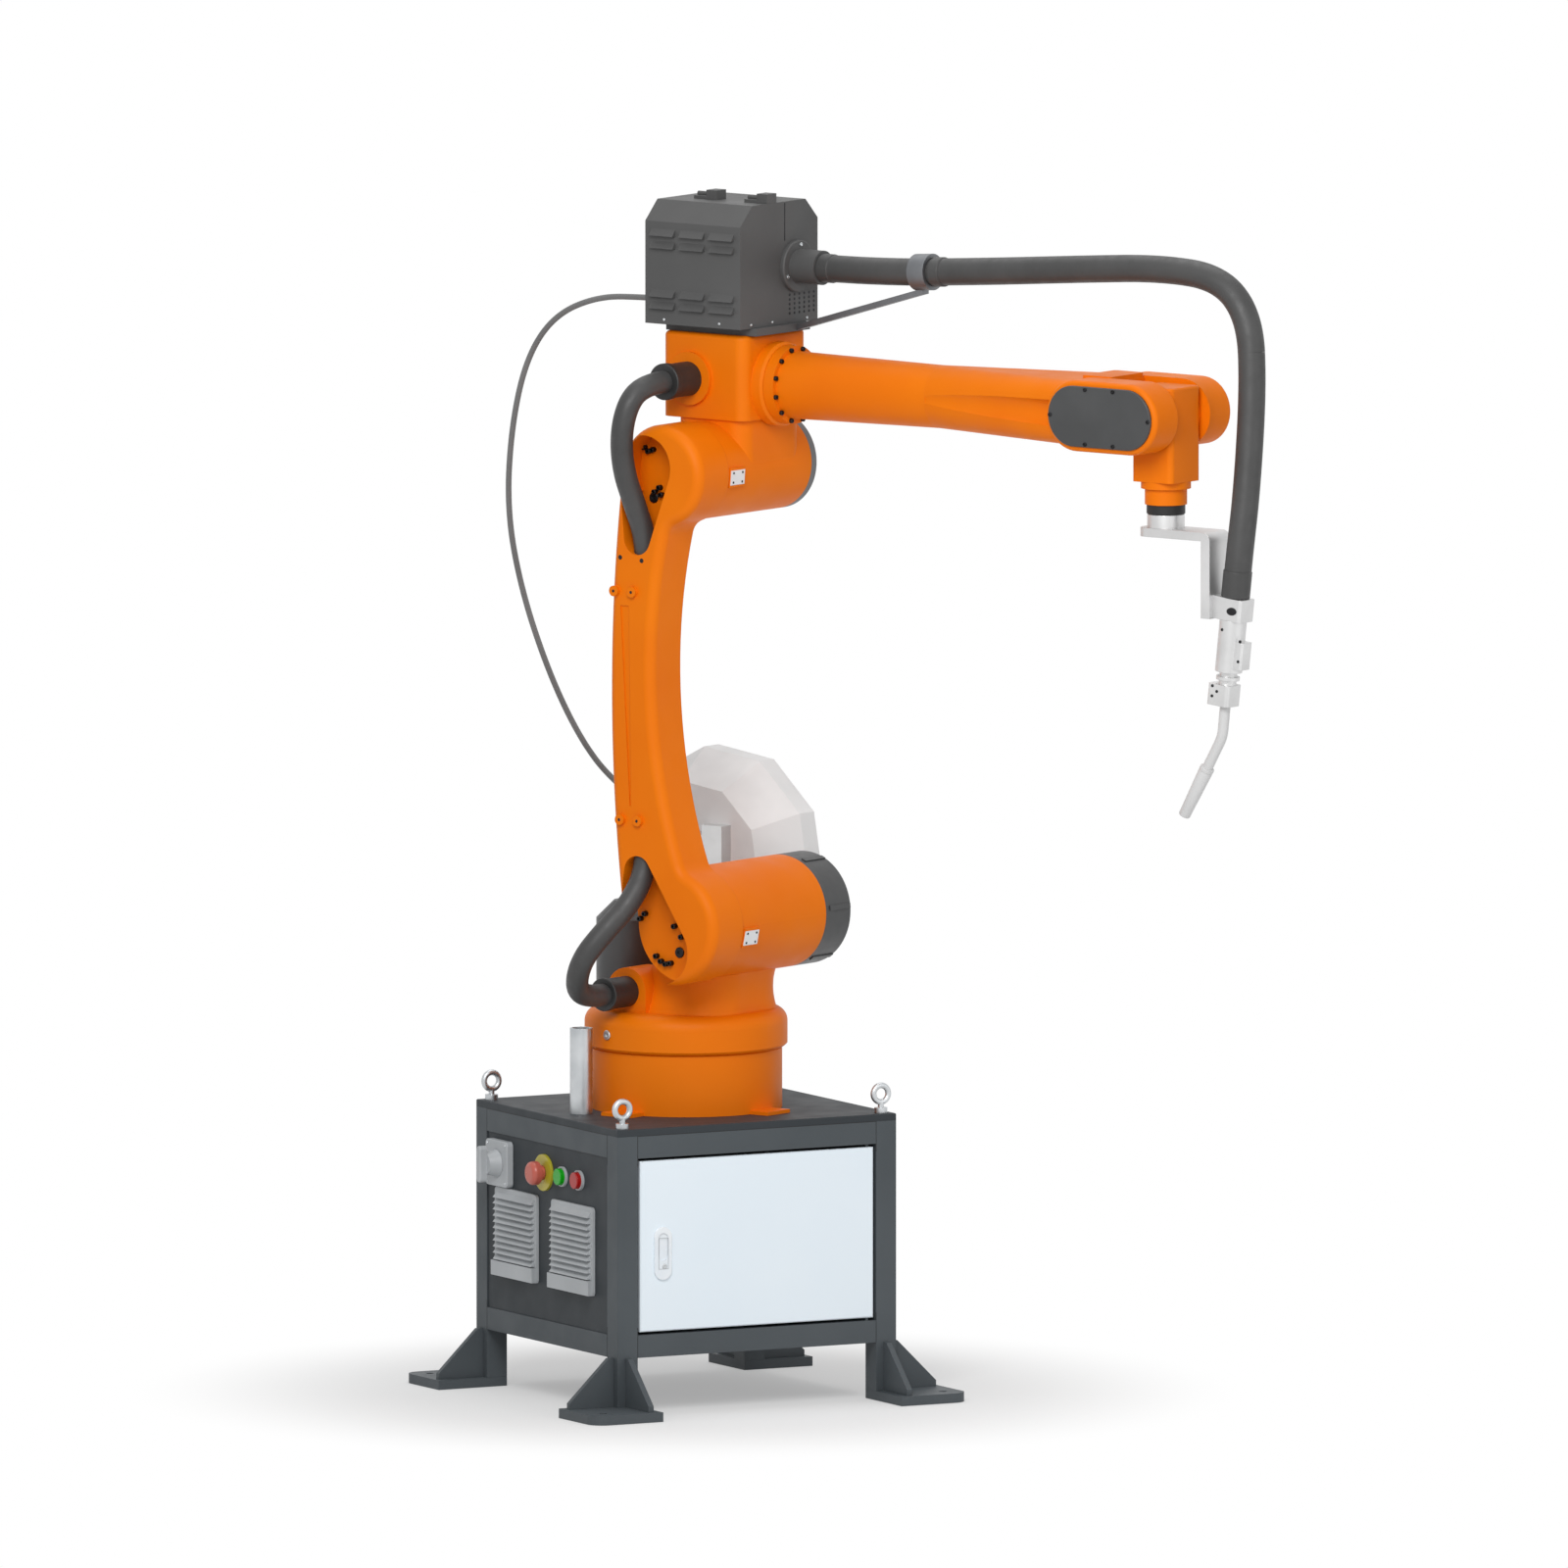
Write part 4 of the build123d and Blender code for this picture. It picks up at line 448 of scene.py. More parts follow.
def vary_roughness(material, amount, smooth, rough):
    """Roughness that drifts from smooth to rough as the amount grows."""
    tree = material.node_tree
    spread = tree.nodes.new("ShaderNodeMapRange")
    spread.inputs["From Min"].default_value = GLOSS_NOISE[0]
    spread.inputs["From Max"].default_value = GLOSS_NOISE[1]
    spread.inputs["To Min"].default_value = smooth
    spread.inputs["To Max"].default_value = rough
    tree.links.new(amount, spread.inputs["Value"])
    tree.links.new(spread.outputs["Result"], tree.nodes["Principled BSDF"].inputs["Roughness"])


def lift(material, height, strength, distance):
    """Bump from a height, on normals that are rounded at the edges."""
    tree = material.node_tree
    bevel = tree.nodes.new("ShaderNodeBevel")
    bevel.samples = EDGE_SAMPLES
    bevel.inputs["Radius"].default_value = EDGE_ROUND
    bump = tree.nodes.new("ShaderNodeBump")
    bump.inputs["Strength"].default_value = strength
    bump.inputs["Distance"].default_value = distance
    tree.links.new(height, bump.inputs["Height"])
    tree.links.new(bevel.outputs["Normal"], bump.inputs["Normal"])
    tree.links.new(bump.outputs["Normal"], tree.nodes["Principled BSDF"].inputs["Normal"])


print("edges are softened over", EDGE_ROUND, "m")

# %% [markdown]
# ## Paint
# The castings carry a satin orange enamel with a faint orange-peel, sprayed on thick enough to vary a
# little from place to place. The cabinet and the feeder are powder coated, which is duller and has a
# finer, even stipple. The cabinet's panels and top plate get a darker powder, which is painted shade.
# The door is the smoothest sheet of all.

# %% Paints
PAINT_DRIFT, PAINT_GLOSS = 3.5, 22
PEEL_SCALE, PEEL_HEIGHT = 420, 0.0004


def enamel(name, dark, light, gloss, peel, coat, shine=0.5):
    """Sprayed paint: broad colour drift, uneven gloss and a fine skin."""
    paint = new_finish(name, coat=coat, shine=shine)
    vary_colour(paint, noise_in(paint, PAINT_DRIFT), dark, light)
    vary_roughness(paint, noise_in(paint, PAINT_GLOSS), *gloss)
    lift(paint, noise_in(paint, PEEL_SCALE, detail=2), peel, PEEL_HEIGHT)
    return paint


arm_enamel = enamel("arm_enamel", "#e97200", "#ef7b02", (0.44, 0.54), 0.08, 0.0, shine=0.16)
frame_powder = enamel("frame_powder", "#474d51", "#4e5458", (0.50, 0.60), 0.14, 0.0, shine=0.35)
# Darker powder for the cabinet's side panels and top plate: painted shade, not a different paint.
panel_painted_shade = enamel("panel_painted_shade", "#2d3236", "#33383c", (0.52, 0.62), 0.12, 0.0, shine=0.3)
feeder_powder = enamel("feeder_powder", "#4c4c4c", "#545454", (0.50, 0.60), 0.18, 0.0, shine=0.4)
door_enamel = enamel("door_enamel", "#eaf5fd", "#edf7fe", (0.28, 0.32), 0.02, 0.1)
elbow_cap_enamel = enamel("elbow_cap_enamel", "#616365", "#6c6e70", (0.40, 0.52), 0.12, 0.0)
print("paints", arm_enamel.name, frame_powder.name, feeder_powder.name, door_enamel.name)

# %% [markdown]
# ## Plastic and rubber
# Moulded covers have a fine even grain from the mould. The rubber of the hoses is duller, with a slow
# drift in shade where hands and dust have been. Buttons are glossy, with hardly any grain.

# %% Plastics and rubber
MOULD_DRIFT, MOULD_GLOSS = 9, 60
GRAIN_SCALE, GRAIN_HEIGHT = 700, 0.0003


def moulding(name, dark, light, gloss, grain, grain_scale=GRAIN_SCALE):
    """Plastic or rubber from a mould: even colour, soft gloss and a fine grain."""
    plastic = new_finish(name)
    vary_colour(plastic, noise_in(plastic, MOULD_DRIFT), dark, light)
    vary_roughness(plastic, noise_in(plastic, MOULD_GLOSS), *gloss)
    lift(plastic, noise_in(plastic, grain_scale, detail=1), grain, GRAIN_HEIGHT)
    return plastic


cap_plastic = moulding("cap_plastic", "#3a3b3c", "#424344", (0.38, 0.48), 0.14)
black_plastic = moulding("black_plastic", "#060606", "#0a0a0a", (0.50, 0.60), 0.05)
gland_plastic = moulding("gland_plastic", "#1f1f1f", "#272727", (0.44, 0.54), 0.08)
conduit_plastic = moulding("conduit_plastic", "#6c6c6c", "#777777", (0.42, 0.52), 0.08)
hose_rubber = moulding("hose_rubber", "#393939", "#434343", (0.44, 0.60), 0.20, 450)
spool_plastic = moulding("spool_plastic", "#dadada", "#e6e6e6", (0.30, 0.42), 0.08)
latch_plastic = moulding("latch_plastic", "#eaf1f7", "#f3f7fa", (0.22, 0.30), 0.03)
switch_plastic = moulding("switch_plastic", "#acb0b3", "#b7bbbe", (0.38, 0.50), 0.12)
yellow_plastic = moulding("yellow_plastic", "#b3a828", "#bdb230", (0.26, 0.34), 0.05)
red_plastic = moulding("red_plastic", "#a80f0c", "#b51410", (0.18, 0.26), 0.03)
mushroom_red = moulding("mushroom_red", "#bd5a4b", "#c66555", (0.26, 0.34), 0.04)
green_plastic = moulding("green_plastic", "#069f0c", "#0aab10", (0.18, 0.26), 0.03)
print("plastics", cap_plastic.name, hose_rubber.name, spool_plastic.name)

# %% [markdown]
# ## Metal
# Lifting eyes and screws are zinc plated, a soft grey shine with blotches. The torch and its bracket
# are turned and milled aluminium. Their tool marks run round or along the piece, so the noise is
# stretched into fine lines. The torch's plated tip reflects so evenly and so pale that the paint recipe,
# with more shine, suits it better than bare metal.

# %% Metals
METAL_DRIFT = 14
MARK_STRENGTH, MARK_HEIGHT = 0.03, 0.0001


def bare_metal(name, dark, light, gloss, stretch, scale):
    """Metal whose tool marks or blotches shift the gloss and lift the surface together."""
    metal = new_finish(name, metallic=1.0)
    vary_colour(metal, noise_in(metal, METAL_DRIFT), dark, light)
    marks = noise_in(metal, scale, detail=4, stretch=stretch)
    vary_roughness(metal, marks, *gloss)
    lift(metal, marks, MARK_STRENGTH, MARK_HEIGHT)
    return metal


zinc = bare_metal("zinc", "#b4b8bb", "#c9ccce", (0.30, 0.46), (1, 1, 1), 90)
milled_aluminium = bare_metal("milled_aluminium", "#cdcdcd", "#d8d8d8", (0.42, 0.48), (1, 1, 5), 30)
dull_steel = bare_metal("dull_steel", "#737578", "#808285", (0.46, 0.56), (1, 1, 1), 60)
black_oxide = bare_metal("black_oxide", "#2c2c2d", "#39393b", (0.40, 0.55), (1, 1, 1), 220)
plated_tip = enamel("plated_tip", "#d2d2d2", "#d9d9d9", (0.34, 0.40), 0.0, 0.0, shine=0.8)
print("metals", zinc.name, milled_aluminium.name, black_oxide.name)

# %% [markdown]
# ## A finish for every solid
# Each solid arrives with the name of its finish, so one table from that name to a material covers most of
# them. A few pieces share a name with a neighbour but look different on the machine, and a second table
# lists those by their own names. The same table gives the cabinet's panels and top plate a darker powder
# than the frame, and that darkness is painted shade. The cables made above are painted here as well.

# %% Finishes on the solids
FINISH_OF_SLOT = {
    "frame_paint": frame_powder, "door_paint": door_enamel, "latch_plastic": latch_plastic,
    "arm_paint": arm_enamel, "cap_plastic": cap_plastic, "elbow_cap_paint": elbow_cap_enamel,
    "feeder_paint": feeder_powder, "hose_rubber": hose_rubber, "spool_plastic": spool_plastic,
    "bright_steel": zinc, "tool_aluminium": milled_aluminium, "switch_plastic": switch_plastic,
    "yellow_plastic": yellow_plastic, "red_plastic": red_plastic, "green_plastic": green_plastic,
}
# The rows for the panels and the top plate give them the darker powder as painted shade.
FINISH_OF_NODE = {
    "vent_panel": panel_painted_shade, "side_panel": panel_painted_shade, "back_panel": panel_painted_shade,
    "top_plate": panel_painted_shade, "e_stop_button": mushroom_red, "tool_ring": black_plastic,
    "cable_support": dull_steel, "lower_gland": gland_plastic, "upper_gland": gland_plastic,
    "torch_neck": plated_tip, "torch_nozzle": plated_tip,
}


def paint_over(piece, finish):
    """Put one finish on every face of a piece."""
    piece.data.materials.clear()
    piece.data.materials.append(finish)


for node_name, node in frame["nodes"].items():
    slot_name = node.data.materials[0].name.split(".")[0]
    paint_over(node, FINISH_OF_NODE.get(node_name, FINISH_OF_SLOT[slot_name]))
for cable in torch_cables + hoses:
    paint_over(cable, hose_rubber)
for conduit in conduits:
    paint_over(conduit, conduit_plastic)
print(len(frame["nodes"]), "solids painted")

# %% [markdown]
# ## Small turned and square pieces
# A robot arm carries dozens of socket screws, plugs and plates. One object for each would be slow to
# handle, so all the small pieces of one finish on one body are joined into one mesh. bmesh is handy
# here: a screw is a stack of rings round its own axis, and the last rings sink back into the head to
# make the socket. A square piece is a cube that is scaled along three directions.

# %% Turned and square shapes
TURNED_SIDES = 20
SMALL_SIDES = 12
SCREW_RIM = 0.15
SHARP_ANGLE = math.radians(35)


def add_turned(mesh, place, way, profile, sides=TURNED_SIDES):
    """Rings of (radius, height) in millimetres along a direction, closed at both ends."""
    way = way.normalized()
    first = way.orthogonal().normalized()
    second = way.cross(first)
    turns = [2 * math.pi * i / sides for i in range(sides)]
    rings = []
    for radius, height in profile:
        middle = place + way * height * MM
        rings.append([
            mesh.verts.new(middle + (first * math.cos(t) + second * math.sin(t)) * radius * MM) for t in turns
        ])
    for low, high in zip(rings, rings[1:]):
        for i in range(sides):
            j = (i + 1) % sides
            mesh.faces.new((low[i], low[j], high[j], high[i]))
    mesh.faces.new(rings[0])
    mesh.faces.new(rings[-1])


def add_block(mesh, middle, size, axes=(FORWARD, SIDE, UP)):
    """Box of a size in millimetres about its middle, along three directions."""
    turn = Matrix.Identity(4)
    for column, axis in enumerate(axes):
        turn.col[column].xyz = axis * size[column] * MM
    turn.translation = middle
    bmesh.ops.create_cube(mesh, size=1.0, matrix=turn)


def add_screw(mesh, place, way, radius, height):
    """Socket screw: straight flank, rounded rim, and a socket half as wide as the head."""
    rim = radius * SCREW_RIM
    add_turned(mesh, place, way, [
        (radius, -1), (radius, height - rim), (radius - rim, height),
        (radius / 2, height), (radius / 2, height / 3),
    ])


def fitting(name, mesh, body, finish):
    """A finished mesh as one piece that rides on a body."""
    bmesh.ops.recalc_face_normals(mesh, faces=mesh.faces)
    data = bpy.data.meshes.new(name)
    mesh.to_mesh(data)
    mesh.free()
    data.shade_smooth()
    data.set_sharp_from_angle(angle=SHARP_ANGLE)
    piece = bpy.data.objects.new(name, data)
    scene.collection.objects.link(piece)
    paint_over(piece, finish)
    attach(piece, body)
    return piece


def arm_place(forward, side, height):
    """World point from millimetres along the arm."""
    return on_arm(forward, side, height) * MM


print("a screw has", TURNED_SIDES, "sides, a tiny one", SMALL_SIDES)

# %% [markdown]
# ## Screws of the forearm
# The forearm tube bolts onto the roll gear with a ring of black socket screws on its flange. The flange
# is the first piece of the forearm, so its face follows from the node's own box. Six more screws hold the
# belt cover, close to its rim.

# %% Forearm screws
ROLL_FLANGE = 20
ROLL_BOLT_CIRCLE = 61.5
ROLL_BOLTS = 12
ROLL_SCREW = (4, 5)
COVER_SCREW = (3.6, 2)
COVER_SCREW_PLACES = [(-29, 46), (29, 46), (-29, -46), (29, -46), (-102, 0), (102, 0)]
forearm_back = arm_box("forearm")[0].x / MM
forearm_axis = joint_by_name["roll"]["pos_m"][2] / MM
flange_face = forearm_back + ROLL_FLANGE
cover_low, cover_high = arm_box("belt_cover")
cover_middle = (cover_low + cover_high) / 2 / MM
cover_face = cover_low.y / MM
screws = bmesh.new()
for number in range(ROLL_BOLTS):
    turn = 2 * math.pi * (number + 0.5) / ROLL_BOLTS
    across = ROLL_BOLT_CIRCLE * math.cos(turn)
    above = ROLL_BOLT_CIRCLE * math.sin(turn)
    add_screw(screws, arm_place(flange_face, across, forearm_axis + above), FORWARD, *ROLL_SCREW)
for along, above in COVER_SCREW_PLACES:
    place = arm_place(cover_middle.x + along, cover_face, cover_middle.z + above)
    add_screw(screws, place, -SIDE, *COVER_SCREW)
forearm_screws = fitting("forearm_screws", screws, "forearm", black_oxide)
print("flange face at", round(flange_face, 1), "mm,", len(forearm_screws.data.polygons), "faces of screws")

# %% [markdown]
# ## In the scoops of the lower arm
# The two hollows that the hose passes through show the heads of the gear screws, and a plug beside them.
# They stand on the floor of the hollow, which lies a fixed depth below the arm's outer face. The four
# small bosses along the arm have a screw each, and two plain threaded holes sit above the upper pair;
# each hole is a thin black disc on the face, painted shade for the dark inside of the hole.

# %% Lower arm fittings
SCOOP_DEPTH = 50
BOSS_PROUD = 7
BOSS_SPREAD = 18.5
GEAR_SCREW = (4.6, 9)
GEAR_PLUG = [(9, -1), (9, 2), (8, 3), (3, 3), (3, 1)]
BOSS_SCREW = [(2.6, -1), (2.6, 0.3)]
HOLE_SHADE_DISC = [(4, -1), (4, 0.3)]
SHOULDER_GEAR_SCREWS = [
    (-92, 5), (-20, -3), (-5, -20), (-58, -56), (-48, -64), (-38, -68), (-28, -66), (-82, 14),
]
ELBOW_GEAR_SCREWS = [(-66, 40), (-57, 34), (-48, 37), (-44, -34), (-34, -26), (-30, -38)]
boss_face = arm_box("lower_arm")[0].y / MM
arm_face = boss_face + BOSS_PROUD
scoop_floor = arm_face + SCOOP_DEPTH
shoulder_axis = along_arm(Vector(joint_by_name["shoulder"]["pos_m"])) / MM
elbow_axis = along_arm(Vector(joint_by_name["elbow"]["pos_m"])) / MM
screws = bmesh.new()
for axis, screw_places in ((shoulder_axis, SHOULDER_GEAR_SCREWS), (elbow_axis, ELBOW_GEAR_SCREWS)):
    for along, above in screw_places:
        place = arm_place(axis.x + along, scoop_floor, axis.z + above)
        add_screw(screws, place, -SIDE, *GEAR_SCREW)
for axis, along, above in ((shoulder_axis, -11, -47), (elbow_axis, -48, -44)):
    add_turned(screws, arm_place(axis.x + along, scoop_floor, axis.z + above), -SIDE, GEAR_PLUG)
for axis, along, above in ((shoulder_axis, -78, 177), (elbow_axis, -73, -200)):
    for spread in (-BOSS_SPREAD, BOSS_SPREAD):
        place = arm_place(axis.x + along + spread, boss_face, axis.z + above)
        add_turned(screws, place, -SIDE, BOSS_SCREW, SMALL_SIDES)
# Black discs as painted shade of the two threaded holes.
for along, above in ((-82, -143), (-37, -146)):
    place = arm_place(elbow_axis.x + along, arm_face, elbow_axis.z + above)
    add_turned(screws, place, -SIDE, HOLE_SHADE_DISC, 16)
lower_arm_screws = fitting("lower_arm_screws", screws, "lower_arm", black_oxide)
print("scoop floor at", round(scoop_floor, 1), "mm,", len(lower_arm_screws.data.polygons), "faces")

# %% [markdown]
# ## Index plates
# A small pale plate sits on the front of each of the two big drums. It is a plain flat plate, pinned at
# its corners to a raised pad. The drum is round, so the plate stands just proud of its foremost line.

# %% Index plates
PLATE_PLACE = -104
PLATE_LENGTH = 38
PLATE_HEIGHT = 25
PLATE_THICK = 1.6
PLATE_PROUD = 2.7
PAD_THICK, PAD_WIDER, PAD_TALLER = 5, 2, 8
PIN = [(2, 0), (2, 1.1), (1.2, 1.6)]
PIN_SPREAD = 0.32
PIN_PROUD = 3
pale_plate = moulding("pale_plate", "#e4e6e8", "#edeff0", (0.30, 0.40), 0.03)


def index_plate(body, axis, radius, drop):
    """Raised pad in arm paint and a pale plate on the front of a drum, with four tiny pins."""
    turn = math.asin(drop / radius)
    out = (FORWARD * math.cos(turn) - UP * math.sin(turn)).normalized()
    down = out.cross(SIDE)
    seat = arm_place(axis.x, PLATE_PLACE, axis.z) + out * radius * MM
    pad = bmesh.new()
    pad_size = (PAD_THICK, PLATE_LENGTH + PAD_WIDER, PLATE_HEIGHT + PAD_TALLER)
    add_block(pad, seat, pad_size, (out, SIDE, down))
    fitting(body + "_index_pad", pad, body, arm_enamel)
    plate = bmesh.new()
    plate_size = (PLATE_THICK, PLATE_LENGTH, PLATE_HEIGHT)
    add_block(plate, seat + out * PLATE_PROUD * MM, plate_size, (out, SIDE, down))
    fitting(body + "_index_plate", plate, body, pale_plate)
    pins = bmesh.new()
    for across in (-PIN_SPREAD, PIN_SPREAD):
        for along in (-PIN_SPREAD, PIN_SPREAD):
            place = seat + SIDE * across * PLATE_LENGTH * MM + down * along * PLATE_HEIGHT * MM
            add_turned(pins, place + out * PIN_PROUD * MM, out, PIN, 10)
    fitting(body + "_index_pins", pins, body, black_oxide)


index_plate("turret", shoulder_axis, radius=95, drop=19)
index_plate("elbow", elbow_axis, radius=82, drop=6)
print("plates", PLATE_LENGTH, "by", PLATE_HEIGHT, "mm")

# %% [markdown]
# ## Plugs in the slewing ring
# The slewing ring has two grease plugs, one on each side, steel discs with a socket. A plug points straight
# out from the ring's axis, so its place is an angle round the ring and a height.

# %% Ring plugs
RING_RADIUS = 171
PLUG_HEIGHT = 618
PLUG_TURNS = (-103.5, 76.5)
RING_PLUG = [(8.5, -1), (8.5, 2), (7.5, 3), (3.4, 3), (3.4, 1)]
ring_plugs = bmesh.new()
for degrees in PLUG_TURNS:
    turn = math.radians(degrees)
    out = FORWARD * math.cos(turn) + SIDE * math.sin(turn)
    add_turned(ring_plugs, out * RING_RADIUS * MM + UP * PLUG_HEIGHT * MM, out, RING_PLUG)
fitting("ring_plugs", ring_plugs, "turret", zinc)
print("plugs", RING_RADIUS, "mm from the axis")

# %% [markdown]
# ## The feeder's front
# The wire feeder's sheet case has a seam above the cable outlet, a small field of air holes, and pan
# screws along its lower edge. Real holes would cut the sheet; thin dark discs on it stand in for the
# shade inside the holes, a painted shade, and leave the solid alone.

# %% Feeder details
HOLE_COLUMNS = 6
HOLE_ROWS = 5
HOLE_PITCH = (13.5, 7.8)
FIRST_HOLE = (30, 17)
OUTLET_SCREW_CIRCLE = 36.5
OUTLET_SCREW_TURNS = (85, 205, 325)
OUTLET_SCREW = (3.4, 2)
OUTLET_THICK = 8
OUTLET_SIDE = 47
CASE_SIDE = 108
SIDE_SCREWS_ALONG, SIDE_SCREW_RAISED = (36, 152), 8
FRONT_SCREWS_ACROSS, FRONT_SCREW_RAISED = (-78, -19, 78), 6
SEAM_SIDE, SEAM_ABOVE_OUTLET, SEAM_ENDS = 16, 43, 4
CASE_SEAM_DEPTH, CASE_SEAM_WIDTH = 0.8, 2
AIR_HOLE = [(2.4, -0.5), (2.4, 0.3)]
PAN_HEAD = [(2.6, -1), (2.4, 1), (1.5, 1.6)]
feeder_low, feeder_high = arm_box("feeder_box")
outlet_low, outlet_high = arm_box("outlet_flange")
feeder_front = feeder_high.x / MM
feeder_foot = feeder_low.z / MM
outlet_height = (outlet_low.z + outlet_high.z) / 2 / MM
# Dark discs as painted shade of the air holes, and a dark strip for the case seam.
hole_shade_and_seam = bmesh.new()
for column in range(HOLE_COLUMNS):
    for row in range(HOLE_ROWS):
        across = FIRST_HOLE[0] + column * HOLE_PITCH[0]
        above = feeder_foot + FIRST_HOLE[1] + row * HOLE_PITCH[1]
        add_turned(hole_shade_and_seam, arm_place(feeder_front, across, above), FORWARD, AIR_HOLE, SMALL_SIDES)
seam_top = feeder_high.z / MM
seam_foot = outlet_height + SEAM_ABOVE_OUTLET
seam_middle = arm_place(feeder_front, SEAM_SIDE, (seam_top + seam_foot) / 2)
seam_size = (CASE_SEAM_DEPTH, CASE_SEAM_WIDTH, seam_top - seam_foot - SEAM_ENDS)
add_block(hole_shade_and_seam, seam_middle, seam_size)
fitting("feeder_hole_shade_and_seam", hole_shade_and_seam, "elbow", black_oxide)
screws = bmesh.new()
for degrees in OUTLET_SCREW_TURNS:
    turn = math.radians(degrees)
    place = arm_place(feeder_front + OUTLET_THICK, OUTLET_SIDE + OUTLET_SCREW_CIRCLE * math.cos(turn),
                      outlet_height + OUTLET_SCREW_CIRCLE * math.sin(turn))
    add_screw(screws, place, FORWARD, *OUTLET_SCREW)
for along in SIDE_SCREWS_ALONG:
    for side, way in ((-CASE_SIDE, -SIDE), (CASE_SIDE, SIDE)):
        place = arm_place(along, side, feeder_foot + SIDE_SCREW_RAISED)
        add_turned(screws, place, way, PAN_HEAD, SMALL_SIDES)
for across in FRONT_SCREWS_ACROSS:
    place = arm_place(feeder_front, across, feeder_foot + FRONT_SCREW_RAISED)
    add_turned(screws, place, FORWARD, PAN_HEAD, SMALL_SIDES)
fitting("feeder_screws", screws, "elbow", zinc)
print("feeder front at", round(feeder_front, 1), "mm,", HOLE_COLUMNS * HOLE_ROWS, "air holes")

# %% [markdown]
# ## Cuffs on the torch cable
# Where the cable leaves the feeder, at its clamp and where it enters the torch, a short rubber cuff keeps
# it from kinking. A cuff is a turned sleeve a little wider than the cable. The first two ride with the
# elbow and the last one with the tool.

# %% Cable cuffs
CUFF_WALL = 1.4
CUFF_ROUND = 1.6
CLAMP_CUFF_WIDER = 0.6
OUTLET_CUFF, CLAMP_CUFF, TORCH_CUFF = 24, 22, 46


def cuff_profile(length, radius):
    """Sleeve with rounded ends, as (radius, height) pairs."""
    end = radius - CUFF_ROUND
    return [(end, 0), (radius, CUFF_ROUND), (radius, length - CUFF_ROUND), (end, length)]


cuff_radius = TORCH_CABLE / 2 + CUFF_WALL
clamp_front = arm_box("cable_support")[1].x / MM
cable_way = (arm_place(*TORCH_CABLE_ROUTE[2]) - arm_place(*TORCH_CABLE_ROUTE[1])).normalized()
clamp_rise = (clamp_front - TORCH_CABLE_ROUTE[1][0]) * cable_way.z / math.hypot(cable_way.x, cable_way.y)
cuffs = bmesh.new()
outlet_cuff = cuff_profile(OUTLET_CUFF, cuff_radius)
add_turned(cuffs, arm_place(*TORCH_CABLE_ROUTE[0]), FORWARD, outlet_cuff, TUBE_SIDES)
clamp_place = arm_place(clamp_front + 1, TORCH_CABLE_ROUTE[1][1], TORCH_CABLE_ROUTE[1][2] + clamp_rise)
clamp_cuff = cuff_profile(CLAMP_CUFF, cuff_radius + CLAMP_CUFF_WIDER)
add_turned(cuffs, clamp_place, cable_way, clamp_cuff, TUBE_SIDES)
fitting("elbow_cuffs", cuffs, "elbow", hose_rubber)
torch_way = (arm_place(*TORCH_CABLE_ROUTE[-2]) - arm_place(*TORCH_CABLE_ROUTE[-1])).normalized()
torch_cuff = bmesh.new()
torch_place = arm_place(*TORCH_CABLE_ROUTE[-1])
add_turned(torch_cuff, torch_place, torch_way, cuff_profile(TORCH_CUFF, cuff_radius), TUBE_SIDES)
fitting("torch_cuff", torch_cuff, "tool", hose_rubber)
print("cuffs", round(2 * cuff_radius, 1), "mm across")

# %% [markdown]
# ## Torch details
# The torch's clamp carries a bare oval plate, and screws show on the clamp, the body and the foot block.
# All of them lie on faces that look sideways, so each is placed by its forward distance and height.

# %% Torch details
OVAL_PLATE = [(10, -0.5), (10, 0.8), (9, 1.2)]
OVAL_SQUASH = 0.66
OVAL_AHEAD, OVAL_BELOW = 10, 3
TORCH_SCREW = [(2.6, -1), (2.6, 0.8), (1.8, 1.2)]
TORCH_SCREW_PLACES = [
    (1141, -22.5, 1371), (1119, -20, 1275), (1118, -20, 1258), (1128, -20, 1266),
    (1172, -14, 1352), (1168, -14, 1318),
]
clamp_low, clamp_high = arm_box("torch_clamp")
body_foot = arm_box("torch_body")[0].z
oval_place = arm_place((clamp_low.x + clamp_high.x) / 2 / MM + OVAL_AHEAD, clamp_low.y / MM,
                       (clamp_low.z + clamp_high.z) / 2 / MM - OVAL_BELOW)
oval = bmesh.new()
add_turned(oval, Vector((0, 0, 0)), -SIDE, OVAL_PLATE, 28)
for vertex in oval.verts:
    vertex.co.z *= OVAL_SQUASH
    vertex.co += oval_place
fitting("torch_oval_plate", oval, "tool", black_oxide)
screws = bmesh.new()
for screw_place in TORCH_SCREW_PLACES:
    add_turned(screws, arm_place(*screw_place), -SIDE, TORCH_SCREW, SMALL_SIDES)
fitting("torch_screws", screws, "tool", black_oxide)
print("torch from", round(body_foot, 3), "to", round(clamp_high.z, 3), "m high")

# %% [markdown]
# ## Shoulder cap ribs and base lugs
# The motor cap on the far side of the shoulder is a moulding with a few long ribs. The base drum stands on
# four thin cast lugs that lie flat on the top plate.

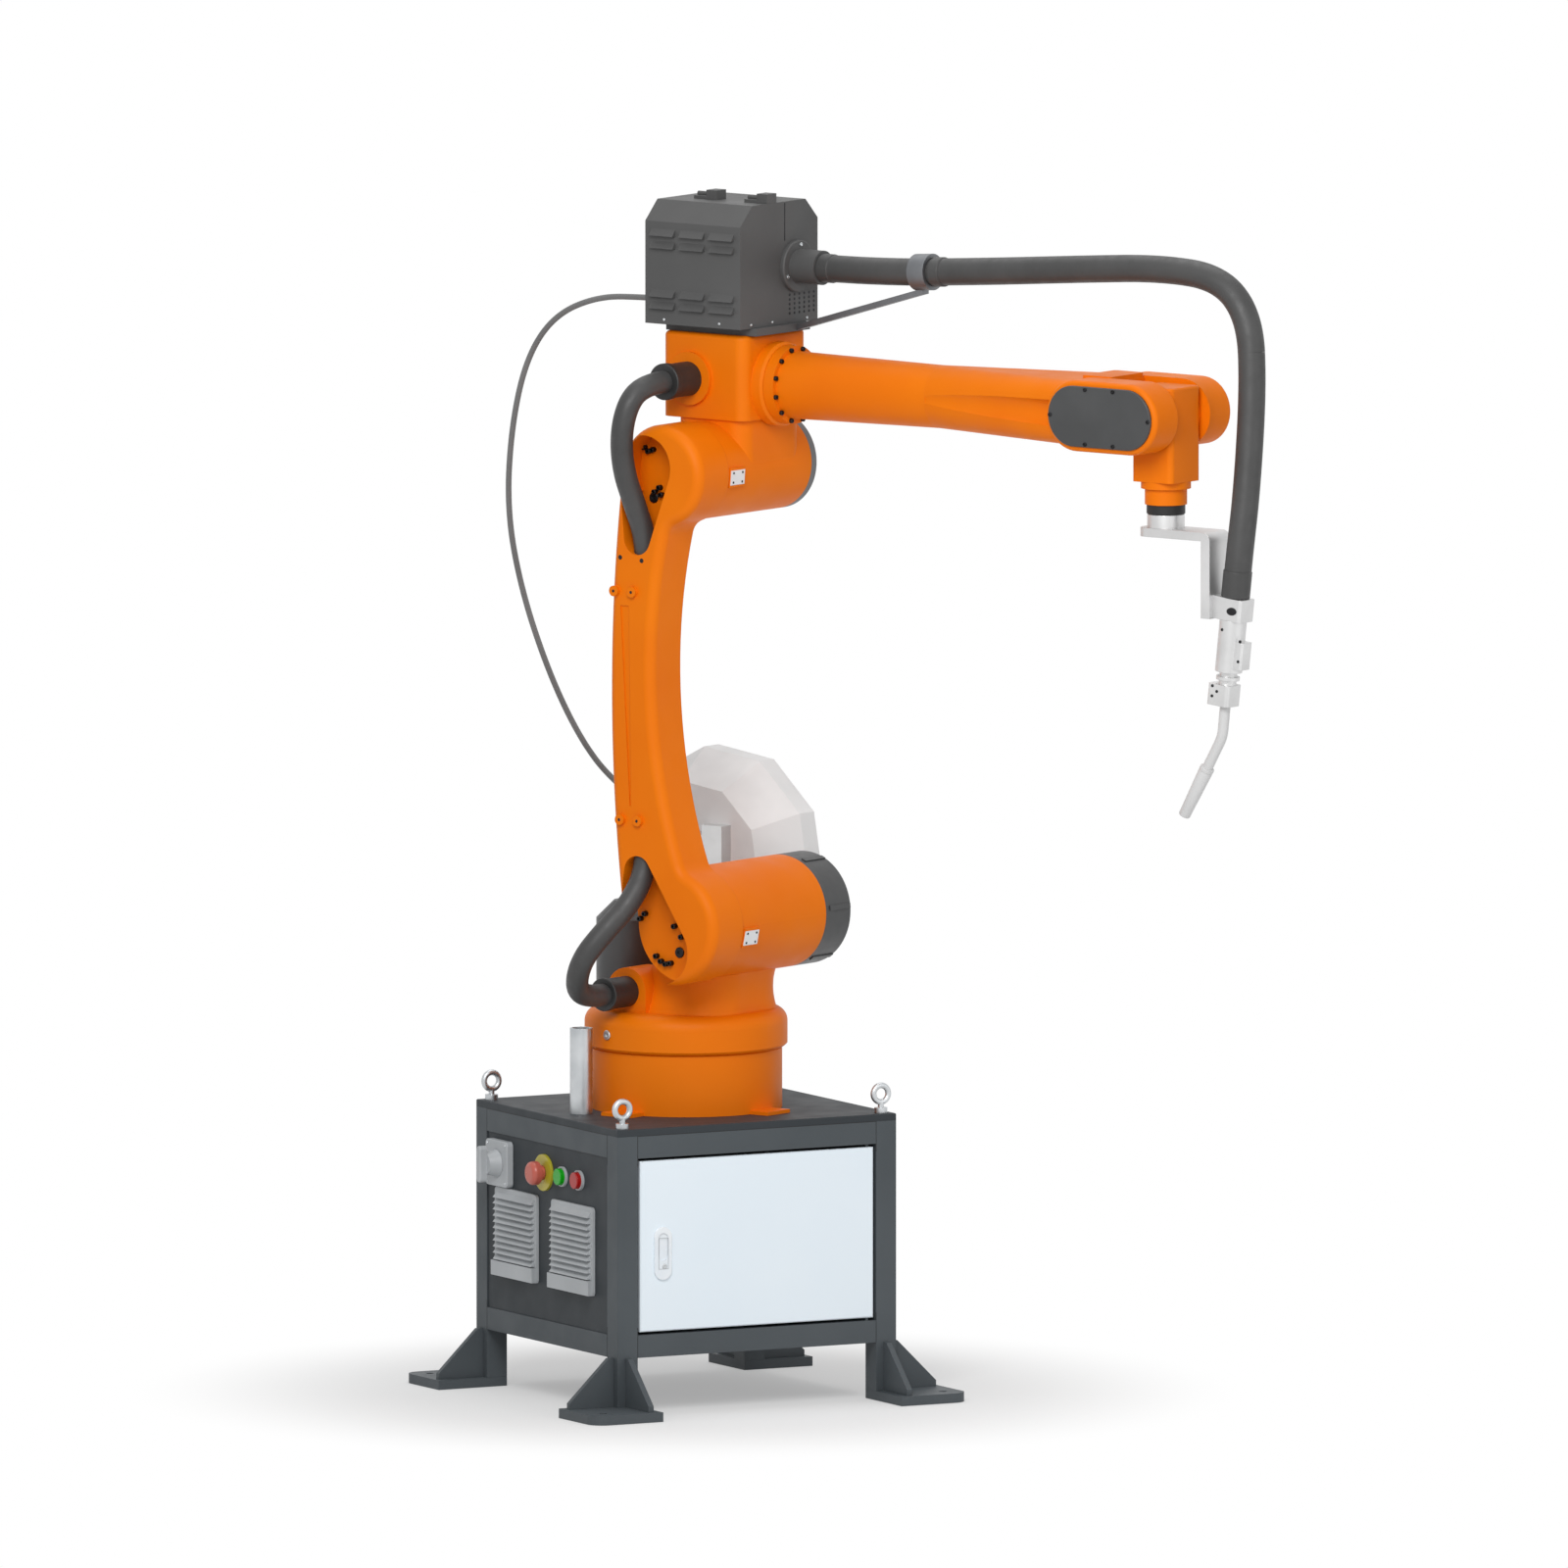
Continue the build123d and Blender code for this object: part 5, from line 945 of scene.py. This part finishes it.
# %% Ribs and lugs
CAP_RIBS = 6
FIRST_RIB_TURN = 0.1
RIB_SIZE = (5, 56, 9)
RIB_PLACE, RIB_SUNK = 38, 0.5
LUGS = 4
LUG_REACH, LUG_LENGTH, LUG_WIDTH, LUG_THICK = 196, 80, 62, 6
cap_low, cap_high = arm_box("shoulder_cap")
cap_radius = (cap_high.z - cap_low.z) / 2 / MM
cap_axis = (cap_high + cap_low) / 2 / MM
ribs = bmesh.new()
for number in range(CAP_RIBS):
    turn = 2 * math.pi * number / CAP_RIBS + FIRST_RIB_TURN
    out = FORWARD * math.cos(turn) + UP * math.sin(turn)
    rib_axis = arm_place(cap_axis.x, cap_low.y / MM + RIB_PLACE, cap_axis.z)
    seat = rib_axis + out * (cap_radius - RIB_SUNK) * MM
    add_block(ribs, seat, RIB_SIZE, (out, SIDE, out.cross(SIDE)))
fitting("shoulder_cap_ribs", ribs, "turret", cap_plastic)
lugs = bmesh.new()
lug_height = arm_box("base_drum")[0].z / MM + LUG_THICK / 2
for number in range(LUGS):
    turn = math.radians(360 / LUGS * number)
    out = FORWARD * math.cos(turn) + SIDE * math.sin(turn)
    aside = out.cross(UP)
    lug_middle = out * (LUG_REACH - LUG_LENGTH / 2) * MM + UP * lug_height * MM
    add_block(lugs, lug_middle, (LUG_LENGTH, LUG_WIDTH, LUG_THICK), (out, aside, UP))
fitting("base_lugs", lugs, "stand", arm_enamel)
print("cap", round(cap_radius, 1), "mm in radius; lugs reach", LUG_REACH, "mm")

# %% [markdown]
# ## The rim round the upper scoop
# On the real arm the upper hollow is closed all round by a thin rounded rim, over which the hose comes
# out. The rim is a piece of a ring about the elbow axis. Its section follows the arm's rounded edge, so
# it is drawn once as (radius, side) pairs and carried round through an angle.

# %% Scoop rim
RIM_OUTER = 84.8
RIM_INNER = 77.5
EDGE_ROUNDING = 17
RIM_START, RIM_END, RIM_STEPS = 118, 206, 30
SECTION_STEPS = 6
rounding_centre = RIM_OUTER - EDGE_ROUNDING
rim_section = [(RIM_INNER, scoop_floor)]
for step in range(SECTION_STEPS + 1):
    radius = RIM_INNER + (RIM_OUTER - RIM_INNER) * step / SECTION_STEPS
    sunk = EDGE_ROUNDING - math.sqrt(max(EDGE_ROUNDING**2 - (radius - rounding_centre) ** 2, 0))
    rim_section.append((radius, arm_face + sunk))
rim_section.append((RIM_OUTER, scoop_floor))
rim = bmesh.new()
rings = []
for step in range(RIM_STEPS + 1):
    turn = math.radians(RIM_START + (RIM_END - RIM_START) * step / RIM_STEPS)
    ahead, above = math.cos(turn), math.sin(turn)
    rings.append([
        rim.verts.new(arm_place(elbow_axis.x + radius * ahead, side, elbow_axis.z + radius * above))
        for radius, side in rim_section
    ])
for ring, following in zip(rings, rings[1:]):
    for i in range(len(ring)):
        j = (i + 1) % len(ring)
        rim.faces.new((ring[i], ring[j], following[j], following[i]))
rim.faces.new(rings[0])
rim.faces.new(rings[-1])
fitting("scoop_rim", rim, "lower_arm", arm_enamel)
print("rim from", RIM_START, "to", RIM_END, "degrees round the elbow axis")

# %% [markdown]
# ## Seams of the cabinet
# The cabinet is welded from square tube, and a fine dark joint shows where each rail meets its posts and
# where the top plate lies on the rails. A groove that fine would be lost in a mesh of this size, so a
# hair-thin dark strip is laid over each joint.

# %% Cabinet seams
SEAM = 1.1
SEAM_PROUD = 0.2
WORLD_AXES = (Vector((1, 0, 0)), Vector((0, 1, 0)), UP)
POST = 38
posts_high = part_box("corner_posts")[1]
plate_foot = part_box("top_plate")[0][2]
inner_x = posts_high[0] / MM - POST
inner_y = posts_high[1] / MM - POST
seams = bmesh.new()
seam_dark = moulding("seam_dark", "#1c1e20", "#232527", (0.60, 0.70), 0.02)
for rails in ("top_rails", "bottom_rails"):
    low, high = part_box(rails)
    middle = (low[2] + high[2]) / 2
    tall = (high[2] - low[2]) / MM
    for sign in (-1, 1):
        for other in (-1, 1):
            at_x = Vector((other * inner_x * MM, sign * posts_high[1], middle))
            add_block(seams, at_x, (SEAM, 2 * SEAM_PROUD, tall), WORLD_AXES)
            at_y = Vector((sign * posts_high[0], other * inner_y * MM, middle))
            add_block(seams, at_y, (2 * SEAM_PROUD, SEAM, tall), WORLD_AXES)
for sign in (-1, 1):
    along_x = Vector((0, sign * posts_high[1], plate_foot))
    add_block(seams, along_x, (2 * inner_x, 2 * SEAM_PROUD, SEAM), WORLD_AXES)
    along_y = Vector((sign * posts_high[0], 0, plate_foot))
    add_block(seams, along_y, (2 * SEAM_PROUD, 2 * inner_y, SEAM), WORLD_AXES)
fitting("cabinet_seams", seams, "stand", seam_dark)
print("seams at", round(inner_x, 1), "and", round(inner_y, 1), "mm")

# %% [markdown]
# ## Door latch and panel fittings
# The latch is a flush oval handle. The outline of a narrow flap shows on it, with a small key lock low
# down. The isolator's plate is held by a tiny screw in each corner, and a plain sill closes the foot of
# each grille, below its slats.

# %% Door latch
LOCK = [(4.6, -1), (4.6, 0.6), (3.8, 1), (2, 1), (2, 0.4)]
LOCK_ASIDE, LOCK_BELOW = 0.002, 0.022
FLAP_WIDTH, FLAP_HEIGHT = 18, 52
FLAP_LINE, FLAP_DEPTH = 0.7, 0.4
latch_low, latch_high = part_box("door_latch")
latch_middle = (Vector(latch_low) + Vector(latch_high)) / 2
latch_face = latch_low[1]
front = Vector((0, -1, 0))
lock = bmesh.new()
lock_place = Vector((latch_middle.x + LOCK_ASIDE, latch_face, latch_middle.z - LOCK_BELOW))
add_turned(lock, lock_place, front, LOCK)
fitting("latch_lock", lock, "door", zinc)
flap = bmesh.new()
for across in (-FLAP_WIDTH / 2, FLAP_WIDTH / 2):
    upright = Vector((latch_middle.x + across * MM, latch_face, latch_middle.z))
    add_block(flap, upright, (FLAP_LINE, FLAP_DEPTH, FLAP_HEIGHT), WORLD_AXES)
for above in (-FLAP_HEIGHT / 2, FLAP_HEIGHT / 2):
    level = Vector((latch_middle.x, latch_face, latch_middle.z + above * MM))
    add_block(flap, level, (FLAP_WIDTH, FLAP_DEPTH, FLAP_LINE), WORLD_AXES)
fitting("latch_flap", flap, "door", switch_plastic)
print("latch face at y", round(latch_face, 4), "m")

# %% Isolator screws and grille sills
PANEL_SCREW = [(2.6, -1), (2.6, 0.6), (1.8, 1)]
PANEL_SCREW_INSET = 0.007
SILL_HEIGHT, SILL_RAISED, SILL_MARGIN, SILL_PROUD = 25, 1, 1, 0.0003
GRILLE_HALF = 75
grille_low, grille_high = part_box("vent_grilles")
isolator_low, isolator_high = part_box("isolator_plate")
left = Vector((-1, 0, 0))
screws = bmesh.new()
for y in (isolator_low[1] + PANEL_SCREW_INSET, isolator_high[1] - PANEL_SCREW_INSET):
    for z in (isolator_low[2] + PANEL_SCREW_INSET, isolator_high[2] - PANEL_SCREW_INSET):
        add_turned(screws, Vector((isolator_low[0], y, z)), left, PANEL_SCREW, SMALL_SIDES)
fitting("isolator_screws", screws, "stand", zinc)
sill_depth = (grille_high[0] - grille_low[0]) / MM
sill_x = (grille_low[0] + grille_high[0]) / 2 - SILL_PROUD
sill_z = grille_low[2] + (SILL_RAISED + SILL_HEIGHT / 2) * MM
sill_size = (sill_depth, 2 * (GRILLE_HALF - SILL_MARGIN), SILL_HEIGHT)
sills = bmesh.new()
for y in (grille_low[1] + GRILLE_HALF * MM, grille_high[1] - GRILLE_HALF * MM):
    add_block(sills, Vector((sill_x, y, sill_z)), sill_size, WORLD_AXES)
fitting("grille_sills", sills, "stand", switch_plastic)
print("sills", round(sill_depth, 1), "mm deep")

# %% [markdown]
# ## Swan neck and gas nozzle
# The torch ends in a bent tube, the swan neck, and a turned gas nozzle with a collar at its top and an
# open mouth. Both are drawn again here as even rings, which shade more smoothly than the triangles of
# the solids. The nozzle's tip is found from its solid, and the neck is followed back up from there.

# %% Neck and nozzle
NOZZLE_LEAN, TORCH_LEAN = math.radians(30), math.radians(6.5)
NOZZLE_LENGTH, NOZZLE_TIP = 97, 10
NOZZLE_SIDES = 40
NECK_TAIL, NECK_STRAIGHT, NECK_BEND, NECK_RADIUS = 62, 54, 12, 9
BEND_STEPS = 10
NECK_OVERLAP = 2
NOZZLE_PROFILE = [(9, -0.4), (12, 0), (12.5, 0.6), (12.5, 6), (11.9, 6.8), (11.9, 8.4), (12.3, 9.2),
                  (10.1, 96), (9.6, 97), (7.5, 97), (7.5, 68)]
nozzle_low, nozzle_high = arm_box("torch_nozzle")
nozzle_way = -FORWARD * math.sin(NOZZLE_LEAN) - UP * math.cos(NOZZLE_LEAN)
torch_down = -FORWARD * math.sin(TORCH_LEAN) - UP * math.cos(TORCH_LEAN)
nozzle_tip = arm_place(nozzle_low.x / MM + NOZZLE_TIP * math.cos(NOZZLE_LEAN),
                       (nozzle_low.y + nozzle_high.y) / 2 / MM,
                       nozzle_low.z / MM + NOZZLE_TIP * math.sin(NOZZLE_LEAN))
nozzle_top = nozzle_tip - nozzle_way * NOZZLE_LENGTH * MM
neck_corner = nozzle_top - nozzle_way * NECK_TAIL * MM
bend_start = neck_corner - torch_down * NECK_BEND * MM
bend_end = neck_corner + nozzle_way * NECK_BEND * MM
neck_line = [neck_corner - torch_down * NECK_STRAIGHT * MM]
for step in range(BEND_STEPS + 1):
    part = step / BEND_STEPS
    neck_line.append(bend_start * (1 - part) ** 2 + neck_corner * 2 * part * (1 - part) + bend_end * part**2)
neck_line.append(nozzle_top + nozzle_way * NECK_OVERLAP * MM)
swan_neck = tube_along("swan_neck", neck_line, NECK_RADIUS * MM)
paint_over(swan_neck, plated_tip)
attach(swan_neck, "tool")
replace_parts(swan_neck, "torch_neck")
nozzle = bmesh.new()
add_turned(nozzle, nozzle_top, nozzle_way, NOZZLE_PROFILE, NOZZLE_SIDES)
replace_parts(fitting("gas_nozzle", nozzle, "tool", plated_tip), "torch_nozzle")
solid_top = arm_box("torch_neck")[1].z / MM
print("neck top", round(solid_top, 1), "mm, drawn", round(neck_line[0].z / MM, 1), "mm")
